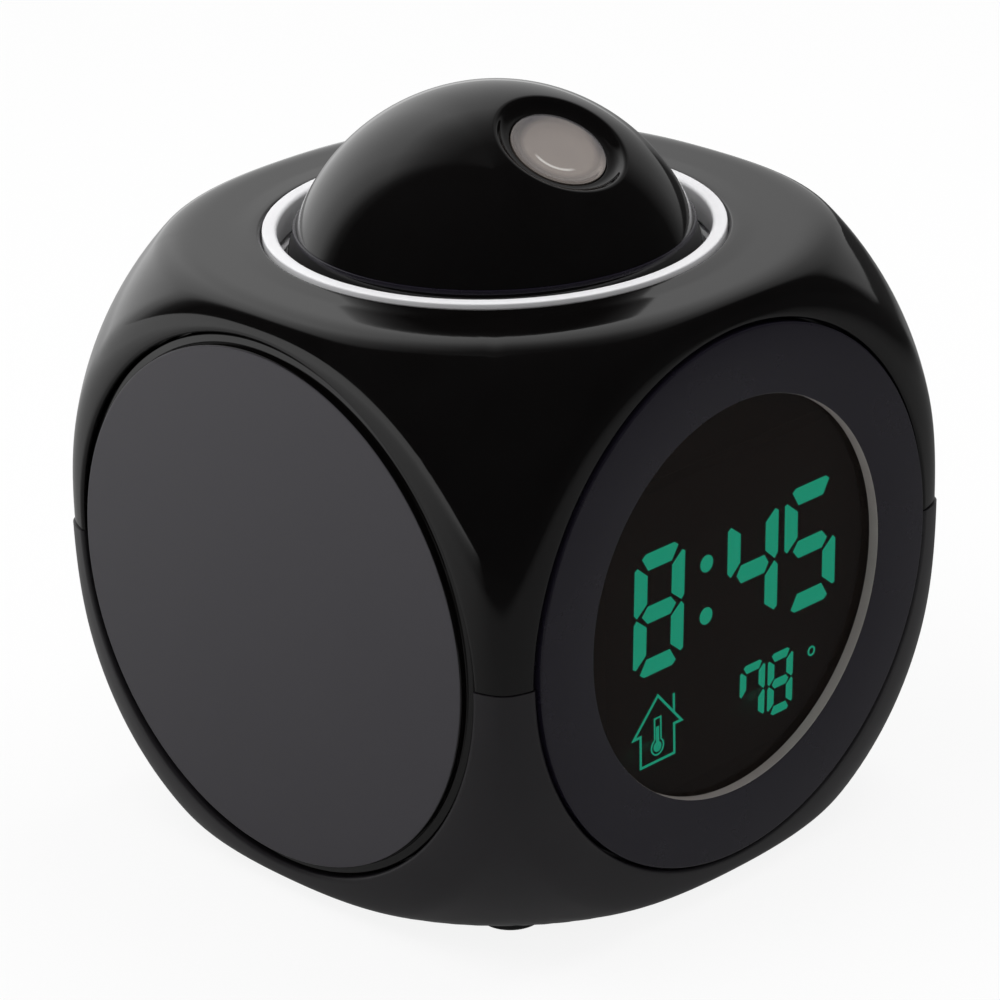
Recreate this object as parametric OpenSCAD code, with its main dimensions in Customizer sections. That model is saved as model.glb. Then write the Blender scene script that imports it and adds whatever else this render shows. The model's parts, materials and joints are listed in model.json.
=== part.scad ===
// Projection alarm clock: a rounded cube with four round panels, a round display
// at the front and a projector ball that turns inside a press ring on top.
// +Z is up, -Y is the display side, and the origin is on the table under the middle.

/* [Shown piece] */
// Name of one piece, or all

/* [Body] */
// Distance between opposite side panels
body_w = 95; // [90:0.5:102]
// Height of the case between its flat top and flat underside
body_h = 89.7; // [84:0.1:98]
// How far a sphere cuts back the eight corners
corner_cut = 14.05; // [12:0.05:16]
// Rounding of the twelve long edges
edge_r = 2.4; // [1.6:0.2:3.2]
// Thickness of the case wall
wall = 2.2; // [1.8:0.1:2.4]
// How far the round panels stand proud of the case
panel_rise = 1.3; // [0.8:0.1:1.5]
// Step by which the lower case stands out past the upper case
case_step = 0.3; // [0:0.05:0.4]
// How far the rubber feet lift the case off the table
foot_rise = 1.2; // [0.8:0.2:3]

/* [Round panels] */
// Width of the case between the round panels and its top and underside
rim_w = 4.45; // [4.2:0.05:5.6]
// Rounding of the panel edges
panel_edge_r = 1.3; // [0.5:0.1:1.6]
// Thickness of the panel faces
panel_t = 2; // [1.6:0.1:2.4]
// Thickness of the flange behind the case wall
flange_t = 1.5; // [1:0.1:1.6]
// Width of the flange past the opening
flange_w = 1.1; // [0.8:0.1:1.2]

/* [Display] */
// Diameter of the round window
window_d = 60; // [57:0.5:61]
// Depth of the window behind the bezel face
window_recess = 1.7; // [1:0.1:2]
// Thickness of the window pane
window_t = 1.5; // [1.2:0.1:1.6]
// Width of the liquid crystal panel
lcd_w = 48; // [44:0.5:50]
// Height of the liquid crystal panel
lcd_h = 40; // [36:0.5:42]
// Thickness of the liquid crystal panel
lcd_t = 2.5; // [2:0.1:2.6]
// Thickness of the backlight
backlight_t = 3; // [2.5:0.1:3.2]

/* [Projector ball] */
// Width of the case top between the press ring and the side faces
shoulder_w = 12.3; // [12:0.05:13.5]
// Depth of the ball centre below the case top
ball_sink = 10.45; // [10:0.05:10.9]
// Wall of the ball
ball_wall = 2.2; // [1.8:0.1:2.6]
// Height of the seam of the ball above its centre
seam_rise = 11.35; // [10.5:0.05:12]
// How much the flat underside takes off the ball
flat_cut = 9; // [8.6:0.1:10]
// Angle of the lens above the horizon
lens_tilt = 62; // [58:1:66]
// Diameter of the lens
lens_d = 14.3; // [12:0.1:14.6]
// Diameter of the dimple around the lens
dimple_d = 18.9; // [17.5:0.1:20]
// Radius of the spindle under the ball
spindle_r = 6; // [5:0.25:6.5]

/* [Press ring] */
// Width of the white ring
ring_w = 2.2; // [1.8:0.1:2.4]
// Height of the ring above the case top
ring_rise = 0.65; // [0.3:0.05:1.2]
// Gap between the ring and the equator of the ball
ring_gap = 0.4; // [0.35:0.05:0.6]
// Travel of the ring
ring_travel = 1; // [0.6:0.1:1.2]
// Radius of the guide pins
guide_r = 1.5; // [1.2:0.1:1.6]

/* [Rear controls] */
// Radius of the round buttons
button_r = 3; // [2.6:0.1:3.2]
// Spacing of the round buttons
button_pitch = 14; // [12:0.5:14.5]
// Height of the switch and the socket above the button row
row_pitch = 9.5; // [9:0.1:10]
// How far the buttons stand out of the dish around them
button_rise = 1.1; // [0.8:0.1:1.4]
// Travel of the alarm switch
switch_travel = 3; // [2:0.25:3.5]
// Bore of the power socket
jack_bore_r = 1.8; // [1.6:0.05:2]

/* [Batteries] */
// Diameter of one cell
cell_d = 10.3; // [10.1:0.1:10.5]
// Length of one cell with its nub
cell_l = 44.5; // [43:0.1:44.5]
// Gap between the cells
cell_gap = 0.8; // [0.5:0.1:1]

/* [Clearances] */
// Gap between pieces that do not touch
gap = 0.3; // [0.28:0.01:0.36]
// Radial play of turning and sliding fits
play = 0.06; // [0.04:0.01:0.08]

/* [Hidden] */
$fn = 96;
fine = 128;
eps = 0.02;
// Overshoot of a cut past the surface that it opens
past = 1;
quarter_turns = [0, 90, 180, 270];
both_ends = [-1, 1];

// Case, as distances from its middle
face = body_w / 2;
side = face - panel_rise;
side_in = side - wall;
top = body_h / 2;
top_in = top - wall;
mid_z = foot_rise + top;
corner_r = norm([side, side, top]) - corner_cut;
edge_in_r = max(0.8, edge_r - wall);
opening_from = side_in - 0.5;
opening_bevel = 0.5;

// Posts that join the two halves of the case
post_inset = 15;
post_at = side_in - post_inset;
post_r = 3.6;
post_screw_l = 16;
screw_r = 1.3;
screw_hole_r = screw_r + 0.2;
screw_grip = 0.05;
head_r = 2.3;
head_t = 1.8;
head_hole_r = head_r + gap;
web_z = -9;
spigot_r = 2.4;
spigot_l = 1.5;
foot_r = 5;
foot_sunk = 0.8;
foot_bevel = 0.5;

// Screws cut into small bosses
small_screw_r = 0.78;
small_hole_r = 0.8;
small_pass_r = 1.1;
small_head_t = 1.1;

// Round panels
seat = side_in - gap;
back = seat - flange_t;
flange_gap = 0.4;
panel_r = min(top - rim_w, back - flange_gap - flange_w - gap);
panel_in = face - panel_t;
opening_r = panel_r + gap;
flange_r = opening_r + flange_w;
hollow_r = panel_r - 3.2;
bezel_bevel = 0.5;
rib_t = 1.2;

// Display stack
window_r = window_d / 2;
pane_lap = 2;
pane_r = max(window_r + pane_lap, norm([lcd_w, lcd_h]) / 2);
pane_front = face - window_recess;
pane_back = pane_front - window_t;
lcd_front = pane_back - gap;
lcd_back = lcd_front - lcd_t;
lcd_ledge = 2;
glass_t = 0.95;
light_front = lcd_back - gap;
light_back = light_front - backlight_t;
tray_floor = light_back - gap;
tray_wall = 1.4;
tray_w = lcd_w + 2 * (gap + tray_wall);
tray_h = lcd_h + 2 * (gap + tray_wall);
tray_slot = [8, 6];
frame_front = back - gap;
frame_t = 1.5;
frame_r = panel_r - 1.9;
frame_head_r = 1.7;
frame_screw_l = 3.6;
frame_screw_r = (pane_r + gap + frame_r) / 2;
frame_screw_z = tray_h / 2 + frame_head_r + 2 * gap;
frame_screw_x = sqrt(frame_screw_r * frame_screw_r - frame_screw_z * frame_screw_z);

// Press ring and the switches under it
ring_hole_r = side - shoulder_w;
ring_out_r = ring_hole_r - gap;
ring_in_r = ring_out_r - ring_w;
ring_top_z = top + ring_rise;
ring_lip_h = 1.5;
ring_relief = 1;
ring_relief_r = ring_in_r + ring_relief;
ring_outer_edge_r = 0.3;
ring_inner_edge_r = 0.7;
ring_flange_r = ring_out_r + 2;
ring_flange_t = 1.5;
ring_flange_z = top_in - gap;
ring_foot_z = ring_flange_z - ring_flange_t;
guide_at = ring_flange_r + guide_r + 0.1;
guide_turns = [20, 160, 200, 340];
switch_turns = [20, 200];
tab_r = guide_r + 0.6;
tact = 6;
tact_t = 3.6;
tact_dip = 0.6;
tact_floor = 1;

// Ball
ball_r = ring_in_r - ring_gap;
ball_in_r = ball_r - ball_wall;
ball_z = top - ball_sink;
seam_z = ball_z + seam_rise;
ball_flat_z = ball_z - ball_r + flat_cut;
flat_r = sqrt(ball_r * ball_r - pow(ball_r - flat_cut, 2));
lip_t = 1.4;
lip_l = 2.5;
lip_root = 0.9;

// Cradle of the ball
boss_r = 2.6;
boss_at = ring_flange_r + gap + 0.1 + boss_r;
boss_drop = 9.65;
boss_z = top_in - boss_drop;
boss_screw_r = 0.95;
boss_screw_l = 7;
cradle_head_r = 2;
cradle_head_t = 1.2;
cup_in_r = ring_in_r + 0.1;
cup_out_r = cup_in_r + 1.8;
cup_rim_z = ring_foot_z - ring_travel - gap;
cup_floor_z = ball_flat_z - 1.4;
cup_floor_t = 2;
cup_foot_z = cup_floor_z - cup_floor_t;
collar_r = spindle_r + 3.5;
bearing_l = 9;
bearing_z = cup_floor_z - bearing_l;
deck_r = boss_at + boss_r;
deck_t = 2.3;
deck_z = boss_z - deck_t;
pin_tip_z = deck_z - 5.1;
snooze_top_z = pin_tip_z + tact_dip;
snooze_foot_z = snooze_top_z - tact_t;
shelf_t = 1.2;
shelf_w = tact + 1.2;
web_t = 1.4;
stop_r = 1.5;
stop_at = (collar_r + flat_r) / 2;
clip_t = 1;
clip_w = 2.4;
clip_slack = 0.1;
clip_z = bearing_z - gap - clip_t;
neck_r = spindle_r - 1;
wire_r = spindle_r - 2.4;
spindle_foot_z = clip_z - 1.6;
frame_half_h = deck_z - 1.7;

// Lens line, measured from the ball centre
lens_r = lens_d / 2;
lens_t = 2.4;
lens_bulge = 1.2;
lens_fit = 0.05;
dimple_r = dimple_d / 2;
dimple_t = 1.3;
dimple_at = sqrt(ball_r * ball_r - dimple_r * dimple_r);
lens_seat = dimple_at - dimple_t;
barrel_l = 24.2;
barrel_wall = 1.3;
barrel_ledge = 1.6;
barrel_in_r = lens_r - barrel_ledge;
barrel_r = lens_r + barrel_wall;
barrel_back = lens_seat - barrel_l;
barrel_front = lens_seat - 1.5;
socket_wall = 1.5;
socket_l = 14;
film_from = 7;
film_at = barrel_back + film_from;
film_t = 1;
led_r = 2.5;
led_l = 2.6;
led_board_t = 1.2;

// Rear controls
dish_face = face - button_rise;
dish_in = dish_face - panel_t;
dish_r = panel_r - 3.9;
dish_lap = 0.8;
row_drop = 11.5;
upper_row_z = dish_r - row_drop;
button_z = upper_row_z - row_pitch;
dish_z = button_z - button_r - 4;
board_t = 1.6;
board_depth = 11.3;
board_front = face - board_depth;
board_back = board_front + board_t;
board_w = 58;
board_z0 = button_z - tact / 2 - 3;
board_z1 = deck_z - 1.8;
board_mid_z = (board_z0 + board_z1) / 2;
board_screw_x = board_w / 2 - 2;
board_screw_l = 5.4;
board_head_r = 1.8;
board_boss_r = 2;
chip_w = 12;
chip_h = 10;
chip_t = 1.2;
tact_top = board_back + tact_t;
stem_r = 1.7;
stem_front = dish_in - gap;
button_flange_w = 1;
button_flange_t = 1;
button_bevel = 0.3;
button_xs = [-1.5, -0.5, 0.5, 1.5];
switch_x = -9;
knob_w = 3;
knob_h = 2.6;
knob_foot_w = 6;
knob_dip = 0.2;
switch_body = [11, 5.2, 3.5];
switch_floor = board_back + 1;
slot_w = knob_w + switch_travel + 2 * gap;
slot_h = knob_h + 2 * gap;
jack_x = 11;
jack_w = 9;
jack_collar_r = 2.9;
jack_collar_l = 1.9;
jack_front = dish_in - gap;
jack_floor = board_back + 1.2;

// Battery bay
cell_pitch = cell_d + cell_gap;
cell_nub_r = 1.9;
cell_nub_l = 1;
bay_wall = 1.5;
bay_w = cell_l + 5.1;
bay_h = 2 * cell_pitch + 1.2;
bay_corner_r = panel_r - 4.3;
bay_z = bay_h / 2 - sqrt(bay_corner_r * bay_corner_r - bay_w * bay_w / 4);
bay_floor = panel_in - cell_d - 0.9;
cell_y = panel_in - cell_d / 2 - 0.4;
contact_t = 0.5;
contact_w = 8;
spring_r = [2, 3.4];
door_t = 1.8;
door_w = bay_w - 2 * gap;
door_h = bay_h - 2 * gap;
grip_w = 8;
grip_notch = [10, 2.6];
grip_lines = [-2 : 2];
hinge_r = 1.5;
hinge_y = face - hinge_r;
hinge_z = bay_z - door_h / 2 + hinge_r;
hinge_pin_r = 0.8;
hinge_pin_l = 1;

// Speaker and the floor of the case
speaker_r = 14;
speaker_y = -6;
speaker_collar_t = 1.2;
speaker_collar_h = 4;
speaker_rim_t = 1.6;
speaker_cone_t = 2;
speaker_magnet_t = 2.2;
grille_r = 12;
grille_pitch = 3.6;
grille_slot_w = 1.4;
grille_slots = [-3 : 3];
floor_rib_x = 20;
floor_rib_t = 1.6;
floor_rib_h = 3;
floor_rib_margin = 4;
floor_rib_l = 2 * (side_in - floor_rib_margin);

colour_case = [0.05, 0.05, 0.06];
colour_panel = [0.22, 0.21, 0.23];
colour_key = [0.12, 0.12, 0.13];
colour_white = [0.93, 0.93, 0.93];
colour_board = [0.08, 0.32, 0.18];
colour_steel = [0.72, 0.72, 0.74];

// ---------- helpers ----------

module at_middle() translate([0, 0, mid_z]) children();
module facing_front() at_middle() rotate([90, 0, 0]) children();
module facing_rear() at_middle() rotate([90, 0, 180]) children();
module facing_left() at_middle() rotate([90, 0, -90]) children();
module facing_right() at_middle() rotate([90, 0, 90]) children();
module at_ball() translate([0, 0, ball_z]) children();
module along_lens() at_ball() rotate([90 - lens_tilt, 0, 0]) children();

module around(angles, r) {
    for (a = angles)
        rotate([0, 0, a]) translate([r, 0, 0]) children();
}

module tube(r_out, r_in, h) {
    difference() {
        cylinder(r = r_out, h = h);
        translate([0, 0, -past]) cylinder(r = r_in, h = h + 2 * past);
    }
}

// Block centred on x and y that stands on z = 0
module block(size) {
    translate([-size[0] / 2, -size[1] / 2, 0]) cube(size);
}

// Everything between two heights, wide enough to trim any piece
module layer(z0, z1) {
    translate([0, 0, z0]) block([2 * body_w, 2 * body_w, z1 - z0]);
}

module round_rect(w, h, r) {
    square([w - 2 * r, h], center = true);
    square([w, h - 2 * r], center = true);
    for (x = both_ends, y = both_ends)
        translate([x * (w / 2 - r), y * (h / 2 - r)]) circle(r = r);
}

module round_bar(w, h, l, r) {
    translate([0, 0, -l / 2]) linear_extrude(l) round_rect(w, h, r);
}

// Rounded cube: three crossed bars with round edges, trimmed by a sphere
module body_form(s, t, r, ball) {
    intersection() {
        round_bar(2 * s, 2 * s, 2 * (t + past), r);
        rotate([90, 0, 0]) round_bar(2 * s, 2 * t, 2 * (s + past), r);
        rotate([90, 0, 90]) round_bar(2 * s, 2 * t, 2 * (s + past), r);
        sphere(r = ball, $fn = fine);
    }
}

module body_shell(step) {
    difference() {
        body_form(side + step, top, edge_r, corner_r + step);
        body_form(side_in, top_in, edge_in_r, corner_r - wall);
    }
}

module four_openings() {
    for (a = quarter_turns)
        rotate([90, 0, a]) translate([0, 0, opening_from]) cylinder(r = opening_r, h = body_w, $fn = fine);
}

module four_posts() {
    for (x = both_ends, y = both_ends)
        translate([x * post_at, y * post_at, 0]) children();
}

// Round panel, hollow behind, with its face at z = face and its flange at z = seat
module round_panel() {
    straight_l = face - panel_edge_r - back;
    difference() {
        union() {
            translate([0, 0, back]) {
                cylinder(r = panel_r, h = straight_l, $fn = fine);
                cylinder(r = panel_r - panel_edge_r, h = face - back, $fn = fine);
                cylinder(r = flange_r, h = flange_t, $fn = fine);
            }
            translate([0, 0, face - panel_edge_r]) rotate_extrude($fn = fine)
                translate([panel_r - panel_edge_r, 0]) circle(r = panel_edge_r, $fn = 48);
        }
        translate([0, 0, back - past]) cylinder(r = hollow_r, h = panel_in - back + past, $fn = fine);
    }
}

// Screw with a crossed slot; the tip points along +z and the head is below z = 0
module screw(r, head, head_h, l) {
    difference() {
        union() {
            translate([0, 0, -head_h]) cylinder(r = head, h = head_h);
            translate([0, 0, -eps]) cylinder(r = r, h = l + eps);
        }
        for (a = [0, 90])
            rotate([0, 0, a]) translate([0, 0, -head_h - past]) block([1.2 * head, 0.6, past + head_h / 3]);
    }
}

// ---------- case ----------

module upper_case() {
    bevel_r = ring_hole_r + opening_bevel + eps;
    color(colour_case) at_middle() difference() {
        union() {
            intersection() {
                body_shell(0);
                layer(0, body_h);
            }
            four_posts() {
                cylinder(r = post_r, h = top_in + past);
                translate([0, 0, -spigot_l]) cylinder(r = spigot_r, h = spigot_l + past);
            }
            around(quarter_turns, boss_at)
                translate([0, 0, boss_z]) cylinder(r = boss_r, h = top_in - boss_z + past);
        }
        four_openings();
        translate([0, 0, top_in - past]) cylinder(r = ring_hole_r, h = wall + 2 * past, $fn = fine);
        translate([0, 0, top - opening_bevel])
            cylinder(r1 = ring_hole_r, r2 = bevel_r, h = opening_bevel + eps, $fn = fine);
        four_posts() translate([0, 0, -spigot_l - past]) cylinder(r = screw_r, h = post_screw_l - 2);
        around(quarter_turns, boss_at)
            translate([0, 0, boss_z - past]) cylinder(r = boss_screw_r + screw_grip, h = boss_screw_l + past);
    }
}

module speaker_grille() {
    for (i = grille_slots) {
        slot_l = 2 * sqrt(grille_r * grille_r - pow(i * grille_pitch, 2));
        translate([i * grille_pitch, speaker_y, 0]) block([grille_slot_w, slot_l, wall + 2 * past]);
    }
}

module lower_case() {
    color(colour_case) at_middle() difference() {
        union() {
            intersection() {
                body_shell(case_step);
                layer(-body_h, 0);
            }
            four_posts() translate([0, 0, -top_in - past]) cylinder(r = post_r, h = top_in + past);
            translate([0, speaker_y, -top_in - eps])
                tube(speaker_r + gap + speaker_collar_t, speaker_r + gap, speaker_collar_h);
            for (x = both_ends)
                translate([x * floor_rib_x, 0, -top_in - eps]) block([floor_rib_t, floor_rib_l, floor_rib_h]);
        }
        four_openings();
        four_posts() {
            translate([0, 0, -body_h]) cylinder(r = head_hole_r, h = body_h + web_z);
            translate([0, 0, web_z - past]) cylinder(r = screw_hole_r, h = body_h);
            translate([0, 0, -spigot_l - gap]) cylinder(r = spigot_r + play, h = body_h);
            translate([0, 0, -top - past]) cylinder(r = foot_r + play, h = foot_sunk + past);
        }
        translate([0, 0, -top - past]) speaker_grille();
    }
}

module case_screws() {
    color(colour_steel) at_middle() four_posts()
        translate([0, 0, web_z]) screw(screw_r - screw_grip, head_r, head_t, post_screw_l);
}

module rubber_feet() {
    color([0.08, 0.08, 0.08]) four_posts() {
        cylinder(r1 = foot_r - foot_bevel, r2 = foot_r, h = foot_bevel);
        translate([0, 0, foot_bevel]) cylinder(r = foot_r, h = foot_rise + foot_sunk - foot_bevel);
    }
}

// ---------- round panels ----------

module side_panel() {
    round_panel();
    for (a = [0, 60, 120])
        rotate([0, 0, a]) translate([0, 0, back + past])
            block([2 * hollow_r + 1, rib_t, panel_in - back - past + eps]);
}

module side_panel_left() color(colour_panel) facing_left() side_panel();
module side_panel_right() color(colour_panel) facing_right() side_panel();

module at_frame_screws() {
    for (x = both_ends, y = both_ends)
        translate([x * frame_screw_x, y * frame_screw_z, 0]) children();
}

module front_bezel() {
    color(colour_case) facing_front() difference() {
        union() {
            translate([0, 0, back]) cylinder(r = panel_r, h = face - bezel_bevel - back, $fn = fine);
            translate([0, 0, face - bezel_bevel - eps])
                cylinder(r1 = panel_r, r2 = panel_r - bezel_bevel, h = bezel_bevel + eps, $fn = fine);
            translate([0, 0, back]) cylinder(r = flange_r, h = flange_t, $fn = fine);
        }
        translate([0, 0, back - past]) {
            cylinder(r = window_r, h = face, $fn = fine);
            cylinder(r = pane_r + gap, h = pane_front - back + past, $fn = fine);
            at_frame_screws() cylinder(r = small_hole_r, h = frame_screw_l + past);
        }
    }
}

// ---------- display ----------

module display_window() {
    color([0.1, 0.08, 0.08, 0.5]) facing_front()
        translate([0, 0, pane_back]) cylinder(r = pane_r, h = window_t, $fn = fine);
}

// Two sheets of glass; the front one is shorter and leaves a ledge for the contacts
module lcd_panel() {
    color([0.12, 0.14, 0.12]) facing_front() {
        translate([0, 0, lcd_back]) block([lcd_w, lcd_h, lcd_t - glass_t + eps]);
        translate([0, lcd_ledge / 2, lcd_front - glass_t]) block([lcd_w, lcd_h - lcd_ledge, glass_t]);
    }
}

module backlight() {
    color([0.85, 0.92, 0.88]) facing_front()
        translate([0, 0, light_back]) block([lcd_w, lcd_h, backlight_t]);
}

// Tray behind the display with a trimmed disc that is screwed to the bezel
module display_frame() {
    color([0.1, 0.1, 0.1]) facing_front() difference() {
        union() {
            translate([0, 0, frame_front - frame_t]) intersection() {
                cylinder(r = frame_r, h = frame_t, $fn = fine);
                block([2 * frame_r, 2 * frame_half_h, frame_t]);
            }
            translate([0, 0, tray_floor - tray_wall])
                block([tray_w, tray_h, frame_front - tray_floor + tray_wall]);
        }
        translate([0, 0, tray_floor]) block([tray_w - 2 * tray_wall, tray_h - 2 * tray_wall, face]);
        at_frame_screws() cylinder(r = small_pass_r, h = face);
        for (x = both_ends)
            translate([x * lcd_w / 4, 0, 0]) block([tray_slot[0], tray_slot[1], face]);
    }
}

module display_screws() {
    color(colour_steel) facing_front() translate([0, 0, frame_front - frame_t])
        at_frame_screws() screw(small_screw_r, frame_head_r, small_head_t, frame_screw_l);
}

// ---------- rear panel and controls ----------

// Upper segment of a disc, where the controls lie
module rear_dish(r, from_z, depth_at, t) {
    translate([0, 0, depth_at]) intersection() {
        cylinder(r = r, h = t, $fn = fine);
        translate([0, from_z + r, 0]) block([2 * r, 2 * r, t]);
    }
}

module at_buttons() {
    for (i = button_xs)
        translate([-i * button_pitch, button_z, 0]) children();
}

module at_board_screws() {
    for (x = both_ends)
        translate([x * board_screw_x, board_mid_z, 0]) children();
}

module at_bay() translate([0, bay_z, bay_floor]) children();
module at_switch() translate([-switch_x, upper_row_z, 0]) children();
module at_jack() translate([-jack_x, upper_row_z, 0]) children();

// Seat of one hinge pin, centred on the hinge line
module hinge_seat(x) {
    seat_l = hinge_pin_l + gap + eps;
    translate([x * (door_w / 2 + gap + seat_l / 2 - eps), hinge_z, hinge_y]) rotate([0, 90, 0])
        cylinder(r = hinge_pin_r + play, h = seat_l, center = true);
}

module rear_panel() {
    color(colour_case) facing_rear() difference() {
        union() {
            round_panel();
            at_bay() translate([0, 0, -bay_wall])
                block([bay_w + 2 * bay_wall, bay_h + 2 * bay_wall, panel_in - bay_floor + bay_wall + eps]);
            at_board_screws() translate([0, 0, board_back])
                cylinder(r = board_boss_r, h = dish_in - board_back + eps);
            rear_dish(dish_r + dish_lap, dish_z - dish_lap, dish_in, panel_t + eps);
        }
        rear_dish(dish_r, dish_z, dish_face, button_rise + past);
        at_bay() block([bay_w, bay_h, face]);
        for (x = both_ends)
            hinge_seat(x);
        translate([0, bay_z + bay_h / 2, face - past]) block([grip_notch[0], grip_notch[1], 2 * past]);
        translate([0, 0, dish_in - past]) {
            at_buttons() cylinder(r = button_r + gap, h = panel_t + 2 * past);
            at_switch() block([slot_w, slot_h, panel_t + 2 * past]);
            at_jack() cylinder(r = jack_collar_r + gap, h = panel_t + 2 * past);
        }
        at_board_screws() translate([0, 0, board_back - past]) cylinder(r = small_hole_r, h = board_screw_l);
    }
}

module push_button(i) {
    flange_back = stem_front - button_flange_t;
    color(colour_key) facing_rear() translate([-button_xs[i] * button_pitch, button_z, 0]) {
        translate([0, 0, stem_front - eps])
            cylinder(r = button_r, h = face - button_bevel - stem_front + eps);
        translate([0, 0, face - button_bevel - eps])
            cylinder(r1 = button_r, r2 = button_r - button_bevel, h = button_bevel + eps);
        translate([0, 0, flange_back]) cylinder(r = button_r + button_flange_w, h = button_flange_t);
        translate([0, 0, tact_top - tact_dip])
            cylinder(r = stem_r, h = flange_back - tact_top + tact_dip + eps);
    }
}

module time_button() push_button(0);
module alarm_button() push_button(1);
module plus_button() push_button(2);
module minus_button() push_button(3);

// Square switch with a round well for the stem that presses it
module tact_body(well_r) {
    difference() {
        block([tact, tact, tact_t]);
        translate([0, 0, tact_floor]) cylinder(r = well_r, h = tact_t);
    }
}

module button_switches() {
    color([0.15, 0.15, 0.15]) facing_rear()
        translate([0, 0, board_back]) at_buttons() tact_body(stem_r + play);
}

module alarm_switch() {
    color(colour_steel) facing_rear() at_switch() difference() {
        translate([0, 0, board_back]) block(switch_body);
        translate([0, 0, switch_floor]) block([slot_w, slot_h, switch_body[2]]);
    }
}

// Shown at its rest end of the slot
module alarm_knob() {
    foot_at = board_back + switch_body[2] + gap;
    color([0.85, 0.85, 0.85]) facing_rear() at_switch() translate([switch_travel / 2, 0, 0]) {
        translate([0, 0, switch_floor + gap]) block([knob_w, knob_h, face - knob_dip - switch_floor - gap]);
        translate([0, 0, foot_at]) block([knob_foot_w, knob_h + 1.2, 1]);
    }
}

module power_jack() {
    color([0.1, 0.1, 0.1]) facing_rear() at_jack() difference() {
        union() {
            translate([0, 0, board_back]) block([jack_w, jack_w, jack_front - board_back]);
            translate([0, 0, jack_front - eps]) cylinder(r = jack_collar_r, h = jack_collar_l + eps);
        }
        translate([0, 0, jack_floor]) cylinder(r = jack_bore_r, h = face);
    }
}

module main_board() {
    color(colour_board) facing_rear() difference() {
        union() {
            translate([0, board_mid_z, board_front]) block([board_w, board_z1 - board_z0, board_t]);
            translate([0, board_z0 + chip_h / 2 + 1.5, board_front - chip_t])
                block([chip_w, chip_h, chip_t + eps]);
        }
        at_board_screws() translate([0, 0, board_front - past])
            cylinder(r = small_pass_r, h = board_t + 2 * past);
    }
}

module board_screws() {
    color(colour_steel) facing_rear() translate([0, 0, board_front])
        at_board_screws() screw(small_screw_r, board_head_r, small_head_t, board_screw_l);
}

// ---------- batteries ----------

module battery_door() {
    color(colour_case) facing_rear() {
        difference() {
            translate([0, hinge_z + (door_h - hinge_r) / 2, face - door_t])
                block([door_w, door_h - hinge_r, door_t]);
            for (i = grip_lines)
                translate([0, bay_z + door_h / 2 - 3 + i * 0.9, face - gap]) block([grip_w, 0.4, past]);
        }
        translate([0, hinge_z, hinge_y]) rotate([0, 90, 0]) {
            cylinder(r = hinge_r, h = door_w, center = true);
            cylinder(r = hinge_pin_r, h = door_w + 2 * hinge_pin_l, center = true);
        }
    }
}

module battery_cells() {
    color([0.75, 0.62, 0.25]) facing_rear()
        for (s = both_ends)
            translate([0, bay_z + s * cell_pitch / 2, cell_y]) rotate([0, s * 90, 0]) {
                translate([0, 0, -cell_l / 2]) cylinder(r = cell_d / 2, h = cell_l - cell_nub_l);
                translate([0, 0, cell_l / 2 - cell_nub_l - eps])
                    cylinder(r = cell_nub_r, h = cell_nub_l + eps);
            }
}

// Plates at both ends of the bay, each with a spring that stops short of the cell
module battery_contacts() {
    plate_at = bay_w / 2 - contact_t;
    spring_at = cell_l / 2 + gap;
    color(colour_steel) facing_rear()
        for (s = both_ends, e = both_ends)
            translate([0, bay_z + s * cell_pitch / 2, cell_y]) rotate([0, e * 90, 0]) {
                translate([0, 0, plate_at]) block([contact_w, contact_w, contact_t]);
                translate([0, 0, spring_at])
                    cylinder(r1 = spring_r[0], r2 = spring_r[1], h = plate_at - spring_at + eps);
            }
}

// ---------- press ring ----------

// Section of the ring: a lip with two round edges on a thinner wall with a flange
module ring_section() {
    lip_z = ring_top_z - ring_lip_h;
    inner_at = ring_in_r + ring_inner_edge_r;
    outer_at = ring_out_r - ring_outer_edge_r;
    translate([ring_in_r, lip_z]) square([ring_w, ring_lip_h - ring_inner_edge_r]);
    translate([inner_at, lip_z]) square([outer_at - inner_at, ring_lip_h]);
    translate([inner_at, lip_z]) square([ring_out_r - inner_at, ring_lip_h - ring_outer_edge_r]);
    translate([inner_at, ring_top_z - ring_inner_edge_r]) circle(r = ring_inner_edge_r, $fn = 48);
    translate([outer_at, ring_top_z - ring_outer_edge_r]) circle(r = ring_outer_edge_r, $fn = 48);
    translate([ring_relief_r, ring_foot_z]) square([ring_out_r - ring_relief_r, lip_z - ring_foot_z + eps]);
    translate([ring_relief_r, ring_foot_z]) square([ring_flange_r - ring_relief_r, ring_flange_t]);
}

module snooze_ring() {
    tab_l = guide_at - ring_out_r;
    color(colour_white) at_middle() {
        rotate_extrude($fn = fine) ring_section();
        around(guide_turns, guide_at) {
            translate([0, 0, ring_foot_z]) cylinder(r = tab_r, h = ring_flange_t);
            translate([-tab_l / 2, 0, ring_foot_z]) block([tab_l, 2 * tab_r, ring_flange_t]);
            translate([0, 0, pin_tip_z]) cylinder(r = guide_r, h = ring_foot_z - pin_tip_z + eps);
        }
    }
}

module snooze_switches() {
    color([0.15, 0.15, 0.15]) at_middle()
        around(switch_turns, guide_at) translate([0, 0, snooze_foot_z]) tact_body(guide_r + play);
}

// ---------- projector ball ----------

// Half-turn slot for the stop pin under the ball
module stop_slot(h) {
    slot_r = stop_r + gap;
    intersection() {
        tube(stop_at + slot_r, stop_at - slot_r, h);
        translate([0, -deck_r, 0]) block([2 * deck_r, 2 * deck_r, h]);
    }
    for (x = both_ends)
        translate([x * stop_at, 0, 0]) cylinder(r = slot_r, h = h);
}

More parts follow.
